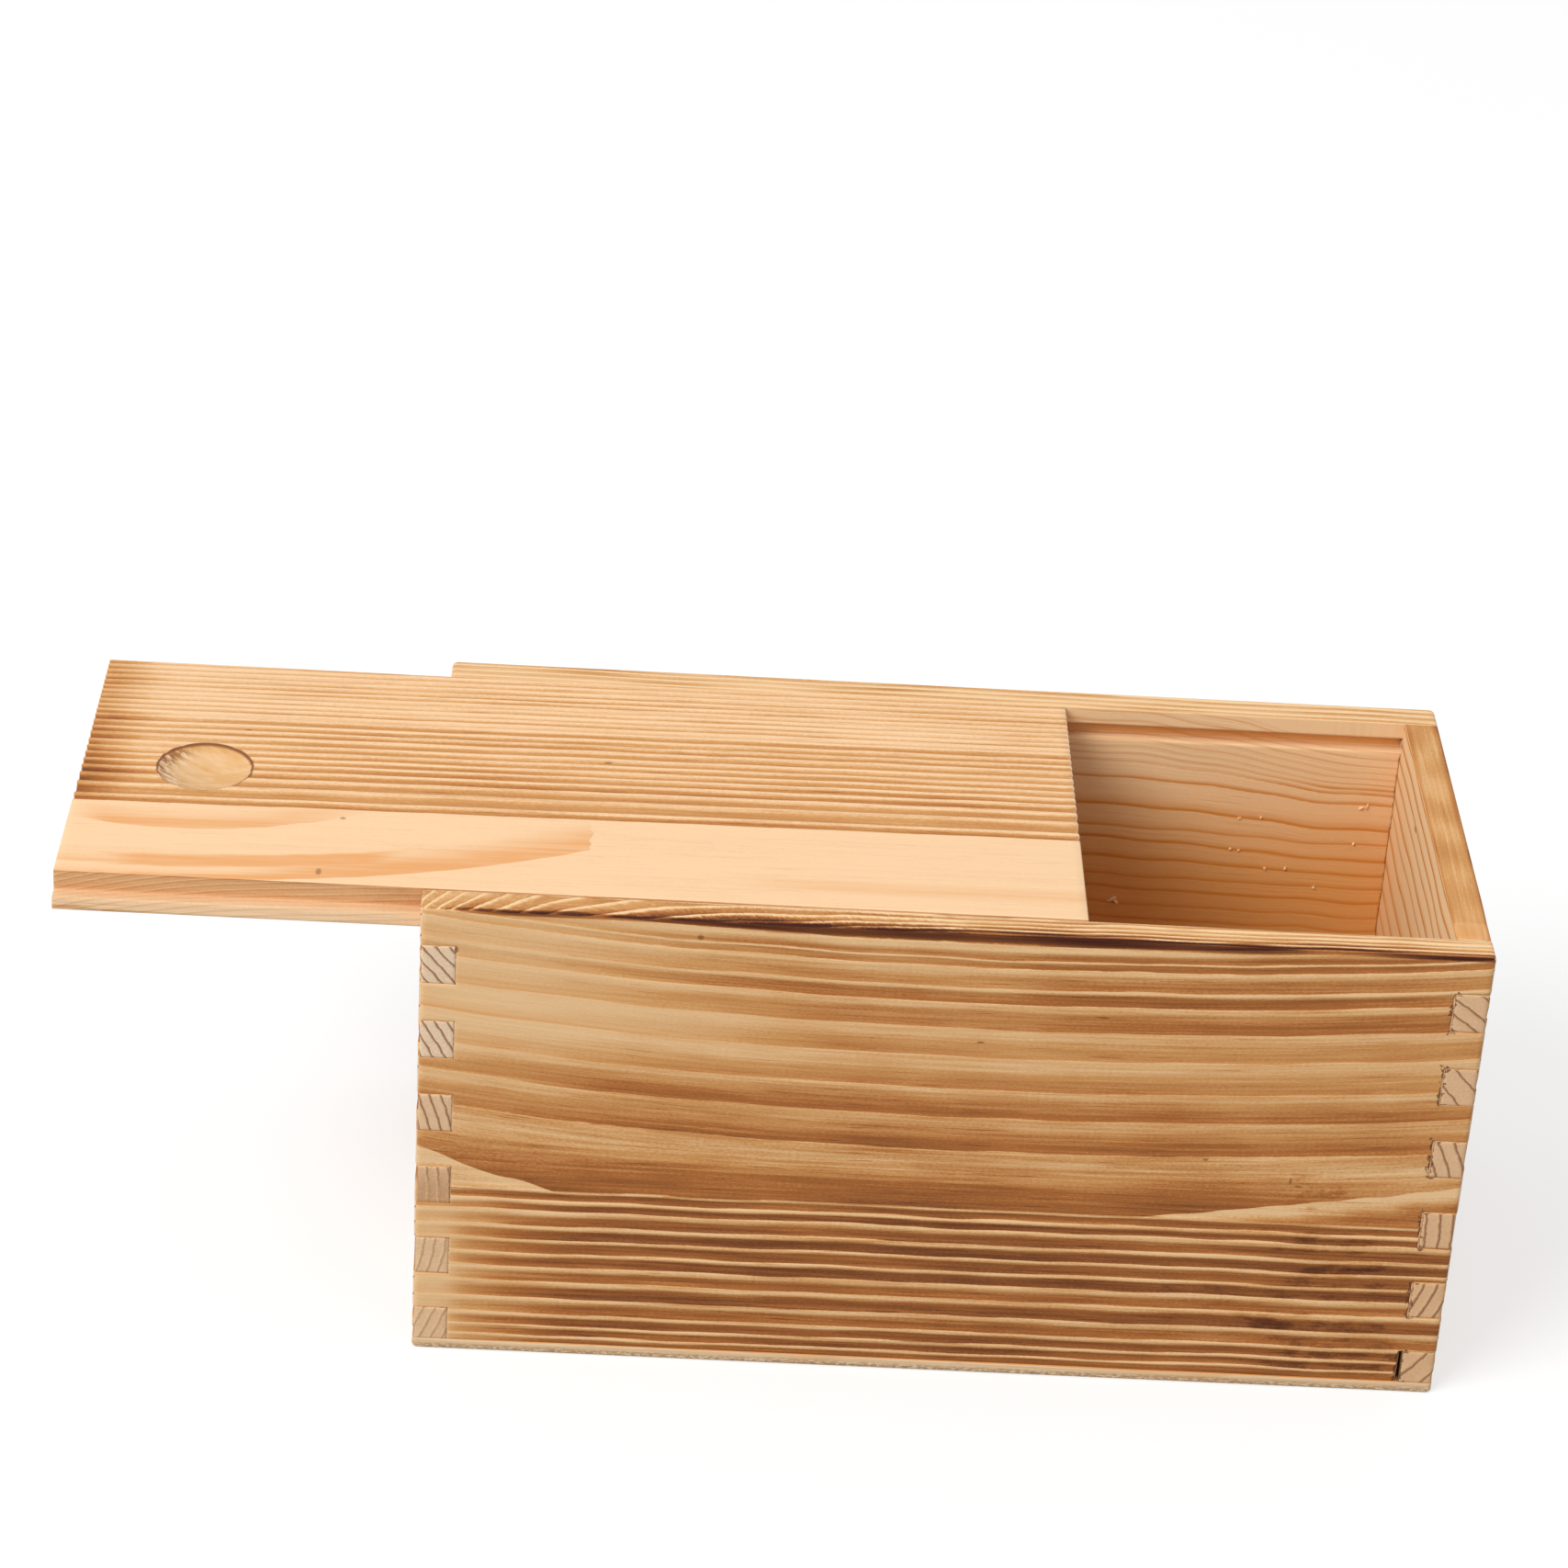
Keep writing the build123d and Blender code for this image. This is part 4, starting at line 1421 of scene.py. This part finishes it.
class WOODENBOX_OT_stage(bpy.types.Operator):
    """Pale floor, soft light from the front left and camera"""

    bl_idname = "wooden_box.stage"
    bl_label = "Stage"

    def execute(self, context):
        scene, stage = context.scene, context.scene.wooden_box_stage
        scene.view_settings.view_transform = "Standard"
        self.make_floor(scene, stage)
        self.make_sky(scene, stage)
        lamp = bpy.data.lights.new("soft_lamp", "AREA")
        lamp.shape, lamp.size, lamp.energy = "SQUARE", stage.lamp_size, stage.lamp
        held = bpy.data.objects.new("soft_lamp", lamp)
        held.location = LAMP_PLACE
        held.rotation_euler = (LAMP_AIM - held.location).to_track_quat("-Z", "Y").to_euler()
        scene.collection.objects.link(held)
        camera = bpy.data.cameras.new("camera")
        camera.lens, camera.sensor_width = stage.lens, SENSOR
        camera.shift_x, camera.shift_y = CAMERA_SHIFT
        camera.clip_start, camera.clip_end = CAMERA_CLIPS
        eye = bpy.data.objects.new("camera", camera)
        eye.location = CAMERA_PLACE
        eye.rotation_euler = [math.radians(angle) for angle in CAMERA_TURN]
        scene.collection.objects.link(eye)
        scene.camera = eye
        return {"FINISHED"}

    def make_floor(self, scene, stage):
        """A large plain floor. What the camera sees of it is lifted to white, but for the object's shadow."""
        edge = np.linspace(-FLOOR_REACH, FLOOR_REACH, 3)
        u, v = np.meshgrid(edge, edge, indexing="ij")
        points = np.stack([u, v, np.zeros_like(u)], -1).reshape(-1, 3)
        first = np.array([0, 1, 3, 4])
        quads = np.stack([first, first + 3, first + 4, first + 1], 1)
        mesh = bpy.data.meshes.new("floor")
        mesh.from_pydata(points.tolist(), [], quads.tolist())
        floor = bpy.data.objects.new("floor", mesh)
        scene.collection.objects.link(floor)
        material, w, shader = new_material("Floor")
        w.feed(shader["Base Color"], stage.floor)
        shader["Roughness"].default_value = 1.0
        shader["Specular IOR Level"].default_value = 0.0
        nodes = material.node_tree.nodes
        lift = w.node("Emission", {"Color": (1.0, 1.0, 1.0), "Strength": w.times(w.seen(), FLOOR_LIFT)})
        both = w.node("AddShader", {0: nodes["Principled BSDF"].outputs[0], 1: lift.outputs[0]})
        w.feed(nodes["Material Output"].inputs["Surface"], both.outputs[0])
        mesh.materials.append(material)

    def make_sky(self, scene, stage):
        """Even white light. The camera and gloss see it at full white."""
        world = bpy.data.worlds.new("sky")
        world.use_nodes = True
        w = Wiring(world.node_tree)
        background = world.node_tree.nodes["Background"].inputs
        w.feed(background["Color"], (1.0, 1.0, 1.0))
        w.feed(background["Strength"], w.line(w.seen(), 0.0, 1.0, stage.sky, 1.0))
        scene.world = world


class WOODENBOX_PT_panel(bpy.types.Panel):
    """Wooden box"""

    bl_idname = "WOODENBOX_PT_panel"
    bl_label = "Wooden box"
    bl_space_type = "VIEW_3D"
    bl_region_type = "UI"
    bl_category = "Wooden box"

    def draw(self, context):
        for step in STEPS:
            self.layout.operator("wooden_box." + step)
        for holder in ("wooden_box_sizes", "wooden_box_wood", "wooden_box_stage"):
            group = getattr(context.scene, holder)
            column = self.layout.box().column()
            for key in type(group).__annotations__:
                column.prop(group, key)


STEPS = ("stage", "front_wall", "back_wall", "end_walls", "bottom_panel", "lid", "crumbs")
CLASSES = (BoxSizes, BoxWood, BoxStage, WOODENBOX_OT_stage, WOODENBOX_OT_front_wall, WOODENBOX_OT_back_wall,
           WOODENBOX_OT_end_walls, WOODENBOX_OT_bottom_panel, WOODENBOX_OT_lid, WOODENBOX_OT_crumbs,
           WOODENBOX_PT_panel)


def register():
    for made in CLASSES:
        bpy.utils.register_class(made)
    bpy.types.Scene.wooden_box_sizes = PointerProperty(type=BoxSizes)
    bpy.types.Scene.wooden_box_wood = PointerProperty(type=BoxWood)
    bpy.types.Scene.wooden_box_stage = PointerProperty(type=BoxStage)


def unregister():
    del bpy.types.Scene.wooden_box_stage
    del bpy.types.Scene.wooden_box_wood
    del bpy.types.Scene.wooden_box_sizes
    for made in reversed(CLASSES):
        bpy.utils.unregister_class(made)


def main():
    register()
    for step in STEPS:
        getattr(bpy.ops.wooden_box, step)()


if __name__ == "__main__":
    main()
